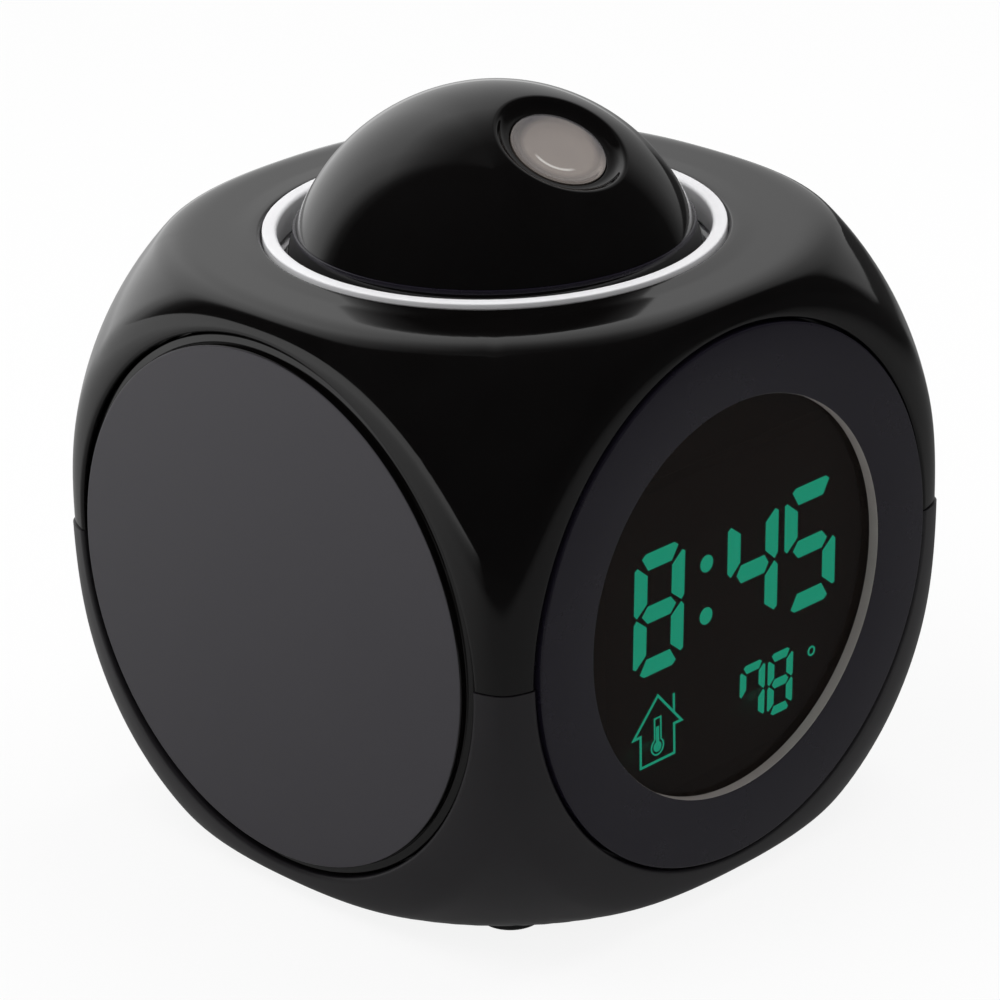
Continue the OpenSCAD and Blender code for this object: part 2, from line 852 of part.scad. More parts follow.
module ball_cradle() {
    shelf_l = guide_at + tact / 2 + 0.4 - cup_in_r - 0.5;
    color(colour_white) at_middle() difference() {
        union() {
            translate([0, 0, cup_foot_z]) cylinder(r = cup_out_r, h = cup_rim_z - cup_foot_z, $fn = fine);
            translate([0, 0, bearing_z]) cylinder(r = collar_r, h = bearing_l);
            translate([0, 0, deck_z]) cylinder(r = deck_r, h = deck_t, $fn = fine);
            around(switch_turns, cup_in_r + 0.5 + shelf_l / 2)
                translate([0, 0, snooze_foot_z - shelf_t]) block([shelf_l, shelf_w, shelf_t]);
            around([0 : 60 : 300], (cup_out_r - 0.5) / 2)
                translate([0, 0, bearing_z + past]) block([cup_out_r - 0.5, web_t, cup_foot_z - bearing_z]);
        }
        translate([0, 0, cup_floor_z]) cylinder(r = cup_in_r, h = body_h, $fn = fine);
        translate([0, 0, bearing_z - past]) cylinder(r = spindle_r + play, h = bearing_l + 2 * past);
        translate([0, 0, deck_z - past]) {
            four_posts() cylinder(r = post_r + gap, h = deck_t + 2 * past);
            around(guide_turns, guide_at) cylinder(r = guide_r + play, h = deck_t + 2 * past);
            around(quarter_turns, boss_at) cylinder(r = boss_screw_r + gap, h = deck_t + 2 * past);
        }
        translate([0, 0, cup_foot_z - past]) stop_slot(cup_floor_t + 2 * past);
    }
}

module cradle_screws() {
    color(colour_steel) at_middle() around(quarter_turns, boss_at)
        translate([0, 0, deck_z]) screw(boss_screw_r, cradle_head_r, cradle_head_t, boss_screw_l);
}

module ball_zone(r, z0, z1) {
    intersection() {
        at_ball() sphere(r = r, $fn = fine);
        layer(z0, z1);
    }
}

module ball_base() {
    pin_foot_z = cup_foot_z + gap;
    color(colour_case) at_middle() difference() {
        union() {
            ball_zone(ball_r, ball_flat_z, seam_z - gap / 2);
            translate([0, 0, spindle_foot_z]) cylinder(r = spindle_r, h = ball_flat_z - spindle_foot_z + eps);
            translate([0, 0, cup_floor_z + gap])
                cylinder(r = collar_r, h = ball_flat_z - cup_floor_z - gap + eps);
            translate([0, -stop_at, pin_foot_z])
                cylinder(r = stop_r, h = ball_flat_z - pin_foot_z + ball_wall / 2);
        }
        ball_zone(ball_in_r, ball_flat_z + ball_wall, seam_z + ball_wall);
        translate([0, 0, spindle_foot_z - past])
            cylinder(r = wire_r, h = ball_flat_z - spindle_foot_z + ball_wall + 2 * past);
        translate([0, 0, clip_z - clip_slack]) tube(spindle_r + past, neck_r, clip_t + 2 * clip_slack);
    }
}

// Open clip in the groove of the spindle
module swivel_clip() {
    color(colour_steel) at_middle() translate([0, 0, clip_z]) difference() {
        cylinder(r = spindle_r + clip_w, h = clip_t);
        translate([0, 0, -past]) {
            cylinder(r = neck_r + play, h = clip_t + 2 * past);
            translate([spindle_r, 0, 0]) block([2 * spindle_r, 1.6 * neck_r, clip_t + 2 * past]);
        }
    }
}

// Hollow slice of a ball
module ball_slice(r_out, r_in, z0, z1) {
    difference() {
        ball_zone(r_out, z0, z1);
        ball_zone(r_in, z0 - past, z1 + past);
    }
}

module dome_cap() {
    lip_r = ball_in_r - gap;
    cap_z = seam_z + gap / 2;
    color(colour_case) at_middle() difference() {
        union() {
            ball_slice(ball_r, ball_in_r, cap_z, ball_z + ball_r);
            // Lip inside the seam
            ball_slice(lip_r, lip_r - lip_t, seam_z - lip_l, cap_z + lip_root);
            ball_slice(ball_in_r + gap, lip_r - lip_t, cap_z, cap_z + lip_root);
            // Socket for the lens barrel
            intersection() {
                along_lens() translate([0, 0, socket_l])
                    cylinder(r = barrel_r + gap + socket_wall, h = ball_r - socket_l);
                at_ball() sphere(r = ball_r - ball_wall / 2, $fn = fine);
            }
        }
        along_lens() {
            cylinder(r = barrel_r + gap, h = barrel_front + gap);
            cylinder(r = lens_r + gap, h = ball_r + past);
            translate([0, 0, lens_seat])
                cylinder(r1 = lens_r + gap, r2 = dimple_r + dimple_t, h = 2 * dimple_t);
        }
    }
}

module lens_barrel() {
    color([0.12, 0.12, 0.12]) at_middle() along_lens() difference() {
        translate([0, 0, barrel_back]) cylinder(r = barrel_r, h = barrel_front - barrel_back);
        translate([0, 0, barrel_back - past]) {
            cylinder(r = barrel_in_r, h = barrel_l + 2 * past);
            cylinder(r = barrel_in_r + barrel_ledge, h = film_at - barrel_back + past);
        }
        translate([0, 0, lens_seat - lens_t]) cylinder(r = lens_r + lens_fit, h = 2 * lens_t);
    }
}

// The front of the lens is a shallow ball face
module projector_lens() {
    bulge_r = (lens_r * lens_r + lens_bulge * lens_bulge) / (2 * lens_bulge);
    color([0.85, 0.85, 0.9, 0.4]) at_middle() along_lens() {
        translate([0, 0, lens_seat - lens_t]) cylinder(r = lens_r, h = lens_t);
        intersection() {
            translate([0, 0, lens_seat - eps]) cylinder(r = lens_r, h = 2 * lens_bulge);
            translate([0, 0, lens_seat + lens_bulge - bulge_r]) sphere(r = bulge_r);
        }
    }
}

module film_lcd() {
    color([0.2, 0.22, 0.2]) at_middle() along_lens()
        translate([0, 0, film_at - film_t - gap]) cylinder(r = barrel_in_r + barrel_ledge - gap, h = film_t);
}

module projector_led() {
    color([0.9, 0.3, 0.25]) at_middle() along_lens() translate([0, 0, barrel_back]) {
        cylinder(r = led_r, h = led_l);
        translate([0, 0, led_l]) sphere(r = led_r);
    }
}

module led_board() {
    color(colour_board) at_middle() along_lens()
        translate([0, 0, barrel_back - led_board_t]) cylinder(r = barrel_r, h = led_board_t);
}

// ---------- speaker ----------

module speaker() {
    cone_foot_r = speaker_r - 1;
    magnet_r = speaker_r - 5.5;
    color([0.3, 0.3, 0.32]) at_middle() translate([0, speaker_y, -top_in + gap]) {
        cylinder(r = speaker_r, h = speaker_rim_t);
        translate([0, 0, speaker_rim_t - eps])
            cylinder(r1 = cone_foot_r, r2 = magnet_r + past, h = speaker_cone_t + eps);
        translate([0, 0, speaker_rim_t + speaker_cone_t - eps])
            cylinder(r = magnet_r, h = speaker_magnet_t + eps);
    }
}

// ---------- pieces ----------

upper_case();
lower_case();
case_screws();
rubber_feet();
side_panel_left();
side_panel_right();
front_bezel();
display_window();
lcd_panel();
backlight();
display_frame();
display_screws();
rear_panel();
time_button();
alarm_button();
plus_button();
minus_button();
button_switches();
alarm_switch();
alarm_knob();
power_jack();
main_board();
board_screws();
battery_door();
battery_cells();
battery_contacts();
snooze_ring();
snooze_switches();
ball_cradle();
cradle_screws();
ball_base();
swivel_clip();
dome_cap();
lens_barrel();
projector_lens();
film_lcd();
projector_led();
led_board();
speaker();
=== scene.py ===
# %% [markdown]
# # A projection alarm clock
# This script dresses a finished construction model in Blender. The clock is a rounded black cube with
# a round panel on each side, a display at the front, a white press ring on top and a projector ball in
# the ring. The construction model holds every size and joint. Here each visible piece gets its true
# curves, edges and finish.
#
# The first step loads the construction model as a fixed frame. Its nodes are never moved. A new piece
# is built at its place in the same frame, rides on one of the frame's bodies, and stands for a node.

# %% Load the frame
import json
from math import cos, hypot, pi, radians, sin, sqrt, tan

import bpy
import numpy as np
from mathutils import Matrix, Vector


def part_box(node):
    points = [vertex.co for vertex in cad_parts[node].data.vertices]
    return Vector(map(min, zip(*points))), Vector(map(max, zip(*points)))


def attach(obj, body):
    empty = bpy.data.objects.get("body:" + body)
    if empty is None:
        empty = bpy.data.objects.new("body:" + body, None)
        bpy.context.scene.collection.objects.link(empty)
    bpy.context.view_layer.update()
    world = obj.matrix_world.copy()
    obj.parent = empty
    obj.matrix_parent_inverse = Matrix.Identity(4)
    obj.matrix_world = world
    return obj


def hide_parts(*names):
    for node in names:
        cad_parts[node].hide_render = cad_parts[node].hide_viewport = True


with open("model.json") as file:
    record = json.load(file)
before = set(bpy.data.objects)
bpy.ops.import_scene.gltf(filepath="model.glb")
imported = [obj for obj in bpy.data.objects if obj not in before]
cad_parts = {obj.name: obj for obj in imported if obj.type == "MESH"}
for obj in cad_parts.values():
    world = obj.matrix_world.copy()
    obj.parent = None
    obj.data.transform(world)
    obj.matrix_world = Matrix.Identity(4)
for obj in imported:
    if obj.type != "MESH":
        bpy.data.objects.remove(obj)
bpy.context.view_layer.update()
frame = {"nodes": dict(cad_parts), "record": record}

# %% [markdown]
# ## Sizes
# The construction model was measured in millimetres from the middle of the case, and Blender works in
# metres. One factor turns the first into the second. The values below are the ones that the new
# pieces share with the model: the planes of the case, its openings, the ring and the ball.

# %% Shared sizes
MM = 0.001
MIDDLE = 46.05                 # height of the middle of the case above the table
TOP = 44.85                    # from the middle to the flat top and floor of the case
FACE = 47.5                    # from the middle to the face of a round panel
WALL = 2.2                     # wall of the case
OPENING = 40.7                 # radius of the openings in the sides
RING_HOLE = 33.9               # radius of the opening in the top
BALL_AT = 34.4                 # from the middle of the case up to the middle of the ball
BALL = 31.0                    # radius of the ball
SEAM = 45.75                   # height of the seam round the ball
LENS_UP = radians(62)          # how far the lens line is raised from the front


def at(x, y, z):
    """A point given in millimetres from the middle of the case, in the frame's metres."""
    return Vector((x, y, z + MIDDLE)) * MM


print("middle of the case:", at(0, 0, 0)[:], "middle of the ball:", at(0, 0, BALL_AT)[:])

# %% [markdown]
# ## Camera
# The photograph looks down on the corner between the left side and the front. A long lens far away
# keeps the round panels close to true ellipses. The camera stands on a line that is turned 44.6
# degrees to the left and raised 24.5 degrees, and is rolled a little. The shift only centres the clock.

# %% Camera
TURN, RAISE, ROLL = radians(-44.616), radians(24.526), radians(-1.542)
AWAY = 0.68077                 # metres from the aimed point to the camera
AIM = Vector((0, 0, 0.03262))
LENS_LENGTH, SENSOR = 163.74, 36    # millimetres
SHIFT = (-0.00454, 0.0920)     # shares of the frame
back = Vector((sin(TURN) * cos(RAISE), -cos(TURN) * cos(RAISE), sin(RAISE)))
level = Vector((cos(TURN), sin(TURN), 0))
upright = back.cross(level)
right = cos(ROLL) * level + sin(ROLL) * upright
up = cos(ROLL) * upright - sin(ROLL) * level
camera_data = bpy.data.cameras.new("camera")
camera_data.sensor_width = SENSOR
camera_data.lens = LENS_LENGTH
camera_data.shift_x, camera_data.shift_y = SHIFT
camera_data.clip_start = 0.01
camera = bpy.data.objects.new("camera", camera_data)
bpy.context.scene.collection.objects.link(camera)
spot = back * AWAY + AIM
camera.matrix_world = Matrix((
    (right.x, up.x, back.x, spot.x),
    (right.y, up.y, back.y, spot.y),
    (right.z, up.z, back.z, spot.z),
    (0, 0, 0, 1)))
bpy.context.scene.camera = camera
bpy.context.scene.view_settings.view_transform = "Standard"
print("camera stands at", [round(v, 4) for v in spot])

# %% [markdown]
# ## Colours
# Colours are read off the photograph as numbers from 0 to 255. Shaders want linear light, so one
# helper converts them.

# %% Colour helper
def shade(red, green, blue):
    """A colour as seen on screen, 0 to 255, in the linear values that shaders use."""
    parts = [v / 255 for v in (red, green, blue)]
    return tuple(v / 12.92 if v <= 0.04045 else ((v + 0.055) / 1.055) ** 2.4 for v in parts) + (1,)


print("charcoal in linear light:", [round(v, 4) for v in shade(57, 55, 60)])

# %% [markdown]
# ## Effects that several finishes share
# Moulded plastic is never one flat colour. It has a fine grain from the mould, faint flow marks, and
# smudges from handling that change how sharply it reflects. Each effect is one node group with
# named inputs, so that every finish can place it with its own scale. A group gives out only values.
# The shader itself stays in the material.

# %% Shared node groups
def value_group(name, inputs, outputs):
    """An empty node group with number inputs and outputs."""
    group = bpy.data.node_groups.new(name, "ShaderNodeTree")
    for label, default in inputs:
        socket = group.interface.new_socket(name=label, in_out="INPUT", socket_type="NodeSocketFloat")
        socket.default_value = default
    for label in outputs:
        group.interface.new_socket(name=label, in_out="OUTPUT", socket_type="NodeSocketFloat")
    return group, group.nodes.new("NodeGroupInput"), group.nodes.new("NodeGroupOutput")


def add_noise(group, scale_from, detail, roughness):
    """A noise on Object coordinates whose scale comes from a socket of the group."""
    place = group.nodes.new("ShaderNodeTexCoord")
    noise = group.nodes.new("ShaderNodeTexNoise")
    noise.inputs["Detail"].default_value = detail
    noise.inputs["Roughness"].default_value = roughness
    group.links.new(place.outputs["Object"], noise.inputs["Vector"])
    group.links.new(scale_from, noise.inputs["Scale"])
    return noise


def stretch(group, source, low, high):
    """Spread the part of a noise between low and high over 0 to 1."""
    spread = group.nodes.new("ShaderNodeMapRange")
    spread.inputs["From Min"].default_value = low
    spread.inputs["From Max"].default_value = high
    group.links.new(source, spread.inputs["Value"])
    return spread.outputs["Result"]


grain, grain_in, grain_out = value_group("mould_grain", [("Grains per metre", 2500)], ["Height"])
grain_noise = add_noise(grain, grain_in.outputs[0], 3, 0.6)
grain.links.new(grain_noise.outputs["Fac"], grain_out.inputs["Height"])

marks, marks_in, marks_out = value_group("handling_marks", [("Marks per metre", 60)], ["Mask"])
marks_noise = add_noise(marks, marks_in.outputs[0], 5, 0.65)
marks.links.new(stretch(marks, marks_noise.outputs["Fac"], 0.35, 0.7), marks_out.inputs["Mask"])

print("node groups:", [g.name for g in bpy.data.node_groups])

# %% [markdown]
# ## The plastic finish
# Nearly every piece of the clock is injection-moulded plastic. They differ in colour, in how sharply
# they reflect and in the depth of the mould grain. One builder makes them all: two near colours are
# mixed by the handling marks, the same marks move the roughness, and the grain drives a bump.

# %% Plastic builder
def effect(material, group, amount):
    """Place a shared effect in a material, with its own scale."""
    node = material.node_tree.nodes.new("ShaderNodeGroup")
    node.node_tree = group
    node.inputs[0].default_value = amount
    return node.outputs[0]


def blend_colours(material, mask, first, second):
    """Mix two colours by a mask that changes over the surface."""
    mix = material.node_tree.nodes.new("ShaderNodeMix")
    mix.data_type = "RGBA"
    mix.inputs["A"].default_value = first
    mix.inputs["B"].default_value = second
    material.node_tree.links.new(mask, mix.inputs["Factor"])
    return mix.outputs["Result"]


def spread_value(material, mask, low, high):
    """Turn a mask into numbers from low to high."""
    node = material.node_tree.nodes.new("ShaderNodeMapRange")
    node.inputs["To Min"].default_value = low
    node.inputs["To Max"].default_value = high
    material.node_tree.links.new(mask, node.inputs["Value"])
    return node.outputs["Result"]


def raise_grain(material, height, depth):
    """Let a height field tilt the surface by a bump of so many millimetres."""
    bump = material.node_tree.nodes.new("ShaderNodeBump")
    bump.inputs["Strength"].default_value = 1
    bump.inputs["Distance"].default_value = depth * MM
    material.node_tree.links.new(height, bump.inputs["Height"])
    return bump.outputs["Normal"]


finishes = {}


def plastic(name, first, second, rough, grains=2500, depth=0.002, marks_scale=60, specular=0.5):
    """A moulded plastic: two near colours, a range of roughness, and a mould grain."""
    material = bpy.data.materials.new(name)
    material.use_nodes = True
    shader = material.node_tree.nodes["Principled BSDF"]
    shader.inputs["Specular IOR Level"].default_value = specular
    mask = effect(material, marks, marks_scale)
    link = material.node_tree.links.new
    link(blend_colours(material, mask, first, second), shader.inputs["Base Color"])
    link(spread_value(material, mask, rough[0], rough[1]), shader.inputs["Roughness"])
    link(raise_grain(material, effect(material, grain, grains), depth), shader.inputs["Normal"])
    material.diffuse_color = first
    finishes[name] = material
    return material


gloss_black = plastic("gloss_black", shade(6, 5, 5), shade(9, 8, 8), (0.05, 0.09), 500, 0.0006)
satin_black = plastic("satin_black", shade(27, 25, 28), shade(31, 29, 32), (0.3, 0.38), 4000, 0.003)
charcoal = plastic("charcoal", shade(57, 55, 60), shade(59, 57, 62), (0.34, 0.4), 5000, 0.002)
bezel_black = plastic("bezel_black", shade(22, 19, 29), shade(25, 22, 32), (0.24, 0.3), 5000, 0.001)
white_plastic = plastic("white_plastic", shade(238, 238, 240), shade(231, 230, 232),
                        (0.3, 0.42), 1500, 0.002)
# painted highlight: this light grey stands for the light that the bezel's inner wall catches
painted_wall_light = plastic("painted_wall_light", shade(157, 151, 148), shade(146, 140, 137), (0.35, 0.5), 3000, 0.002)
plastic("grey_plastic", shade(120, 120, 122), shade(108, 108, 111), (0.4, 0.5), 2500, 0.004)
plastic("inner_black", shade(18, 18, 19), shade(26, 26, 27), (0.5, 0.65), 2500, 0.006)
plastic("switch_body", shade(24, 24, 25), shade(34, 34, 35), (0.45, 0.6), 3000, 0.004)
plastic("cell_wrap", shade(52, 78, 120), shade(44, 68, 108), (0.25, 0.4), 900, 0.003)
plastic("rubber", shade(26, 26, 27), shade(36, 36, 36), (0.7, 0.85), 3500, 0.012)
plastic("diffuser", shade(228, 232, 228), shade(220, 226, 222), (0.5, 0.6), 2500, 0.004)
print("plastics:", ", ".join(finishes))

# %% [markdown]
# ## Metals, board and lamp
# The inside pieces are hidden in the finished clock but are seen when the model is taken apart. Metal
# gets a brushed noise that changes its roughness, the board a green lacquer with fine flecks.

# %% Metal and board finishes
def metal(name, first, second, rough):
    """A plated metal with a fine uneven polish."""
    material = plastic(name, first, second, rough, 6000, 0.003, 400)
    material.node_tree.nodes["Principled BSDF"].inputs["Metallic"].default_value = 1


metal("steel", shade(188, 190, 194), shade(164, 166, 170), (0.22, 0.4))
metal("speaker_metal", shade(150, 150, 152), shade(126, 126, 128), (0.35, 0.5))
plastic("board", shade(20, 74, 44), shade(28, 92, 54), (0.35, 0.5), 3000, 0.01, 900)
plastic("led", shade(240, 240, 225), shade(228, 226, 204), (0.15, 0.25), 1500, 0.002)
print("finishes so far:", len(finishes))

# %% [markdown]
# ## Window and display finishes
# The window is a thin smoked pane. It lets the lit figures through, so it is made partly clear with
# Alpha rather than with refraction, which would shift the figures sideways. Behind it lies the dark
# glass of the display. The figures glow in one even green.

# %% Window, display and lit finishes
SMOKE = 0.66                   # share of the light that one face of the pane holds back
smoke = plastic("smoke_window", shade(22, 16, 13), shade(24, 18, 15), (0.04, 0.06),
                500, 0.0002, 40, 0.2)
smoke.node_tree.nodes["Principled BSDF"].inputs["Alpha"].default_value = SMOKE
plastic("lcd_dark", shade(20, 15, 12), shade(23, 17, 14), (0.3, 0.4), 3000, 0.001)


def lit(name, colour, strength):
    """An even glow behind a fine diffusing grain."""
    material = bpy.data.materials.new(name)
    material.use_nodes = True
    shader = material.node_tree.nodes["Principled BSDF"]
    shader.inputs["Base Color"].default_value = (0.002, 0.01, 0.008, 1)
    shader.inputs["Roughness"].default_value = 0.6
    shader.inputs["Emission Strength"].default_value = strength
    mask = effect(material, grain, 3500)
    dim = tuple(v * 0.9 for v in colour[:3]) + (1,)
    material.node_tree.links.new(blend_colours(material, mask, colour, dim),
                                 shader.inputs["Emission Color"])
    return material


PASSES = (1 - SMOKE) ** 2          # a ray crosses the front and the back of the pane
figure_green = lit("figure_green", shade(17, 134, 105), 1 / PASSES)
print("window passes", round(PASSES, 2), "of the light behind it")

# %% [markdown]
# ## Helpers for modelling by hand
# New pieces start from a primitive and are shaped in edit mode. Loading the frame leaves its nodes
# selected, so everything is deselected before a primitive is added. A finished piece keeps its place
# in its mesh: turning and moving are applied, and its object sits at the origin.

# %% Selection and placing helpers
def clear_selection():
    """Leave edit mode and select nothing."""
    if bpy.context.object and bpy.context.object.mode != "OBJECT":
        bpy.ops.object.mode_set(mode="OBJECT")
    bpy.ops.object.select_all(action="DESELECT")


def pick(piece):
    """Make one piece the only selected and the active one."""
    clear_selection()
    piece.select_set(True)
    bpy.context.view_layer.objects.active = piece


def edit_all():
    """Go into edit mode with everything selected."""
    bpy.ops.object.mode_set(mode="EDIT")
    bpy.ops.mesh.select_all(action="SELECT")


def close_edit():
    """Turn all faces outwards and leave edit mode."""
    bpy.ops.mesh.select_all(action="SELECT")
    bpy.ops.mesh.normals_make_consistent(inside=False)
    bpy.ops.object.mode_set(mode="OBJECT")


def join(pieces):
    """Join pieces into the first of them."""
    pick(pieces[0])
    for piece in pieces:
        piece.select_set(True)
    bpy.ops.object.join()
    return pieces[0]


def point_along(piece, towards=(0, 0, 1), centre=at(0, 0, 0)):
    """Turn a piece made round the upright axis so that its top looks along a line, and place it."""
    pick(piece)
    piece.rotation_mode = "QUATERNION"
    piece.rotation_quaternion = Vector(towards).to_track_quat("Z", "Y")
    piece.location = centre
    bpy.ops.object.transform_apply(location=True, rotation=True, scale=True)
    piece.rotation_mode = "XYZ"


def smooth(piece, angle=35):
    """Shade round faces smooth and keep edges sharper than the angle."""
    pick(piece)
    bpy.ops.object.shade_smooth_by_angle(angle=radians(angle))


def second_finish(piece, material, wanted):
    """Give a second finish to the faces whose middle, in millimetres from the case's, is wanted."""
    piece.data.materials.append(material)
    for face in piece.data.polygons:
        face.material_index = int(wanted(*(face.center - at(0, 0, 0)) / MM))


def finish_piece(piece, name, body, slot, material, *nodes):
    """Name a piece, give it its finish, tie it to its body, and hide the nodes it stands for."""
    piece.name = name
    piece.data.name = name
    piece.data.materials.clear()
    piece.data.materials.append(material)
    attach(piece, body)
    if nodes:
        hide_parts(*nodes)
    print(name, "has", len(piece.data.polygons), "faces and rides on", body)


# %% [markdown]
# ## The case skin
# The real case is two mouldings, a glossy one on a satin one. Its shape lies between a cube and a
# ball: flat sides with soft edges, cut down by a large bulging ball at the corners. One formula gives
# the distance from the middle to this skin in any direction. It blends a tight box, whose top is
# crowned a little, with a ball that is swollen towards a cube. A cube with a bevel and a cut by a
# sphere would be the other way, but it leaves creases where the two meet, and gloss shows every crease.

# %% Skin of the case
BOX_SIDE = 47.2                # sides of the rounded box that the ball is melted into
BOX_TOP = 45.7                 # its top, before the crown drops away
BOX_FLOOR = TOP
CROWN = 0.6                    # drop of the domed top at the edge of its opening
CROWN_END = 0.7                # the dome levels out a little way from the opening
EDGE = 80                      # a high power keeps the box's edges tight
ROUND = 61.9                   # radius of the bulging ball along an axis
BULGE = 2.216                  # 2 is a true ball, more swells it towards a cube
MELT = 4.0                     # width of the blend between box and ball
MELT_CHANGE = -1.2             # the blend is narrower at the top and wider at the floor
SWELL = 0.5                    # the bulging ball is this much larger towards the top and the floor
LEAN = 0.45                    # the bulge lies this far towards the right front edge


def skin(direction, grow):
    """Distance in millimetres from the middle of the case to its skin along unit directions."""
    x, y, z = np.abs(np.moveaxis(direction, -1, 0))
    slope = (x ** 2 + y ** 2) / np.maximum(z, 0.1) ** 2
    spread = np.minimum(slope, CROWN_END) * (BOX_TOP / RING_HOLE) ** 2
    lid = np.where(direction[..., 2] > 0, BOX_TOP - CROWN * spread, BOX_FLOOR)
    box = ((x / BOX_SIDE) ** EDGE + (y / BOX_SIDE) ** EDGE + (z / lid) ** EDGE) ** (-1 / EDGE)
    swollen = ROUND + SWELL * np.tanh(3 * z) ** 2
    ball = swollen / (x ** BULGE + y ** BULGE + z ** BULGE) ** (1 / BULGE)
    ball = ball + LEAN * (direction[..., 0] * cos(TURN) + direction[..., 1] * sin(TURN))
    melt = MELT + MELT_CHANGE * np.tanh(4 * direction[..., 2])
    t = np.clip(0.5 + 0.5 * (box - ball) / melt, 0, 1)
    return box * (1 - t) + ball * t - melt * t * (1 - t) + grow


tests = {"side edge": (1, 1, 0), "top edge": (1, 0, 1), "corner": (1, 1, 1)}
for label, way in tests.items():
    unit = np.array(way, float) / np.linalg.norm(way)
    print(label, "lies", round(float(skin(unit, 0)), 2), "mm from the middle")

# %% [markdown]
# Each of the six sides is one grid. The grid is rolled into a collar round the side's axis: its rows
# run from the inner border of the wall, up through the opening with a rounded lip, and out over the
# skin to the edge of the side. Neighbouring sides end on the same points, so merging doubles closes
# the seams. The bottom has no opening. It gets an inner and an outer grid, which start at its middle.

# %% One side of the case
AROUND = 192                   # divisions round each side, a multiple of eight so the corners meet
LIP = 0.6                      # rounding of the edge of an opening
INNER_ROWS, LIP_ROWS, OUTER_ROWS, FLOOR_ROWS = 9, 7, 21, 25


def directions(axis, across, along, spread, turn):
    """Unit directions at a slope from an axis, turned round it."""
    way = (axis + spread[..., None] * (np.cos(turn)[..., None] * across
                                       + np.sin(turn)[..., None] * along))
    return way / np.linalg.norm(way, axis=-1, keepdims=True)


def on_skin(axis, across, along, spread, turn, grow):
    """Points of the skin at a slope from an axis, turned round it."""
    way = directions(axis, across, along, spread, turn)
    return way * skin(way, grow)[..., None]


def slope_at(axis, across, along, radius, turn, grow):
    """The slope at which the skin has a given distance from the side's axis."""
    height = np.full(turn.shape, TOP)
    for _ in range(12):
        spot = on_skin(axis, across, along, radius / height, turn, grow)
        height = spot @ axis
    return radius / height, height


def side_grids(axis, hole, grow):
    """The grids of points of one side: one with an opening, or an inner and an outer one without."""
    axis = np.array(axis, float)
    across = np.roll(axis, 1)
    along = np.cross(axis, across)
    turn = np.linspace(0, 2 * pi, AROUND + 1)
    border = 1 / np.maximum(np.abs(np.cos(turn)), np.abs(np.sin(turn)))

    def rows(start, parts, offset):
        """Rows of the skin at shares of the way from a starting slope to the border of the side."""
        return [on_skin(axis, across, along, start + (border - start) * part, turn, offset)
                for part in parts]

    inwards = np.linspace(1, 0, INNER_ROWS)
    if not hole:
        outwards = np.linspace(0, 1, FLOOR_ROWS)
        return [rows(0 * turn, inwards, grow - WALL), rows(0 * turn, outwards, grow)]
    inner, _ = slope_at(axis, across, along, hole, turn, grow - WALL)
    outer, height = slope_at(axis, across, along, hole + LIP, turn, grow)
    flat = np.cos(turn)[:, None] * across + np.sin(turn)[:, None] * along
    lip = []
    for bend in np.linspace(0, 1, LIP_ROWS) * pi / 2:
        radius = hole + LIP * (1 - cos(bend))
        drop = LIP * (1 - sin(bend))
        lip.append(axis * (height - drop)[:, None] + flat * radius)
    outwards = np.linspace(0, 1, OUTER_ROWS)[1:]
    return [rows(inner, inwards, grow - WALL) + lip + rows(outer, outwards, grow)]


def press_grid(rows):
    """Add a grid primitive and move its points onto rows of points."""
    across, down = len(rows[0]) - 1, len(rows) - 1
    clear_selection()
    bpy.ops.mesh.primitive_grid_add(x_subdivisions=across, y_subdivisions=down, size=2)
    sheet = bpy.context.object
    points = np.array([v.co[:] for v in sheet.data.vertices])
    column = np.rint((points[:, 0] + 1) / 2 * across).astype(int)
    row = np.rint((points[:, 1] + 1) / 2 * down).astype(int)
    place = np.array(rows)[row, column] * MM
    place[:, 2] += MIDDLE * MM
    sheet.data.vertices.foreach_set("co", place.ravel())
    sheet.data.update()
    return sheet


def case_skin(grow):
    """All six sides as one closed double skin with round openings."""
    sheets = []
    sides = [((1, 0, 0), OPENING), ((-1, 0, 0), OPENING), ((0, 1, 0), OPENING),
             ((0, -1, 0), OPENING), ((0, 0, 1), RING_HOLE), ((0, 0, -1), 0)]
    for axis, hole in sides:
        sheets += [press_grid(rows) for rows in side_grids(axis, hole, grow)]
    shell = join(sheets)
    edit_all()
    bpy.ops.mesh.remove_doubles(threshold=2e-6)
    close_edit()
    return shell


def keep_half(shell, upper):
    """Cut the skin at its middle, keep one half and close the cut."""
    pick(shell)
    edit_all()
    bpy.ops.mesh.bisect(plane_co=at(0, 0, 0), plane_no=(0, 0, 1), use_fill=True,
                        clear_inner=upper, clear_outer=not upper, threshold=1e-6)
    close_edit()


upper_shell = case_skin(0)
keep_half(upper_shell, True)
smooth(upper_shell)
finish_piece(upper_shell, "upper_shell", "case", "gloss_black", gloss_black, "upper_case")

# %% [markdown]
# The lower moulding is the same skin, 0.3 mm larger all round, as the small ledge at the split shows.
# Its floor has slots over the speaker and seats for the rubber feet, which hide the screws. These are
# cut with plain cutters through the closed wall.

# %% Lower half of the case
STEP = 0.3                     # the lower half is this much larger
FOOT_AT = 29.0                 # of each foot from the middle, both ways
SEAT_R, SEAT_DEEP = 5.1, 2.2   # seat of a foot
SLOT_GAP, SLOT_WIDE = 3.6, 1.4    # the slots of the grille
GRILLE_R, GRILLE_Y = 12, -6    # the round field that they fill
lower_shell = case_skin(STEP)
keep_half(lower_shell, False)


def cut_away(piece, cutter):
    """Subtract a cutter from a piece and remove the cutter."""
    pick(piece)
    tool = piece.modifiers.new("cut", "BOOLEAN")
    tool.operation = "DIFFERENCE"
    tool.solver = "EXACT"
    tool.object = cutter
    bpy.ops.object.modifier_apply(modifier=tool.name)
    bpy.data.objects.remove(cutter)


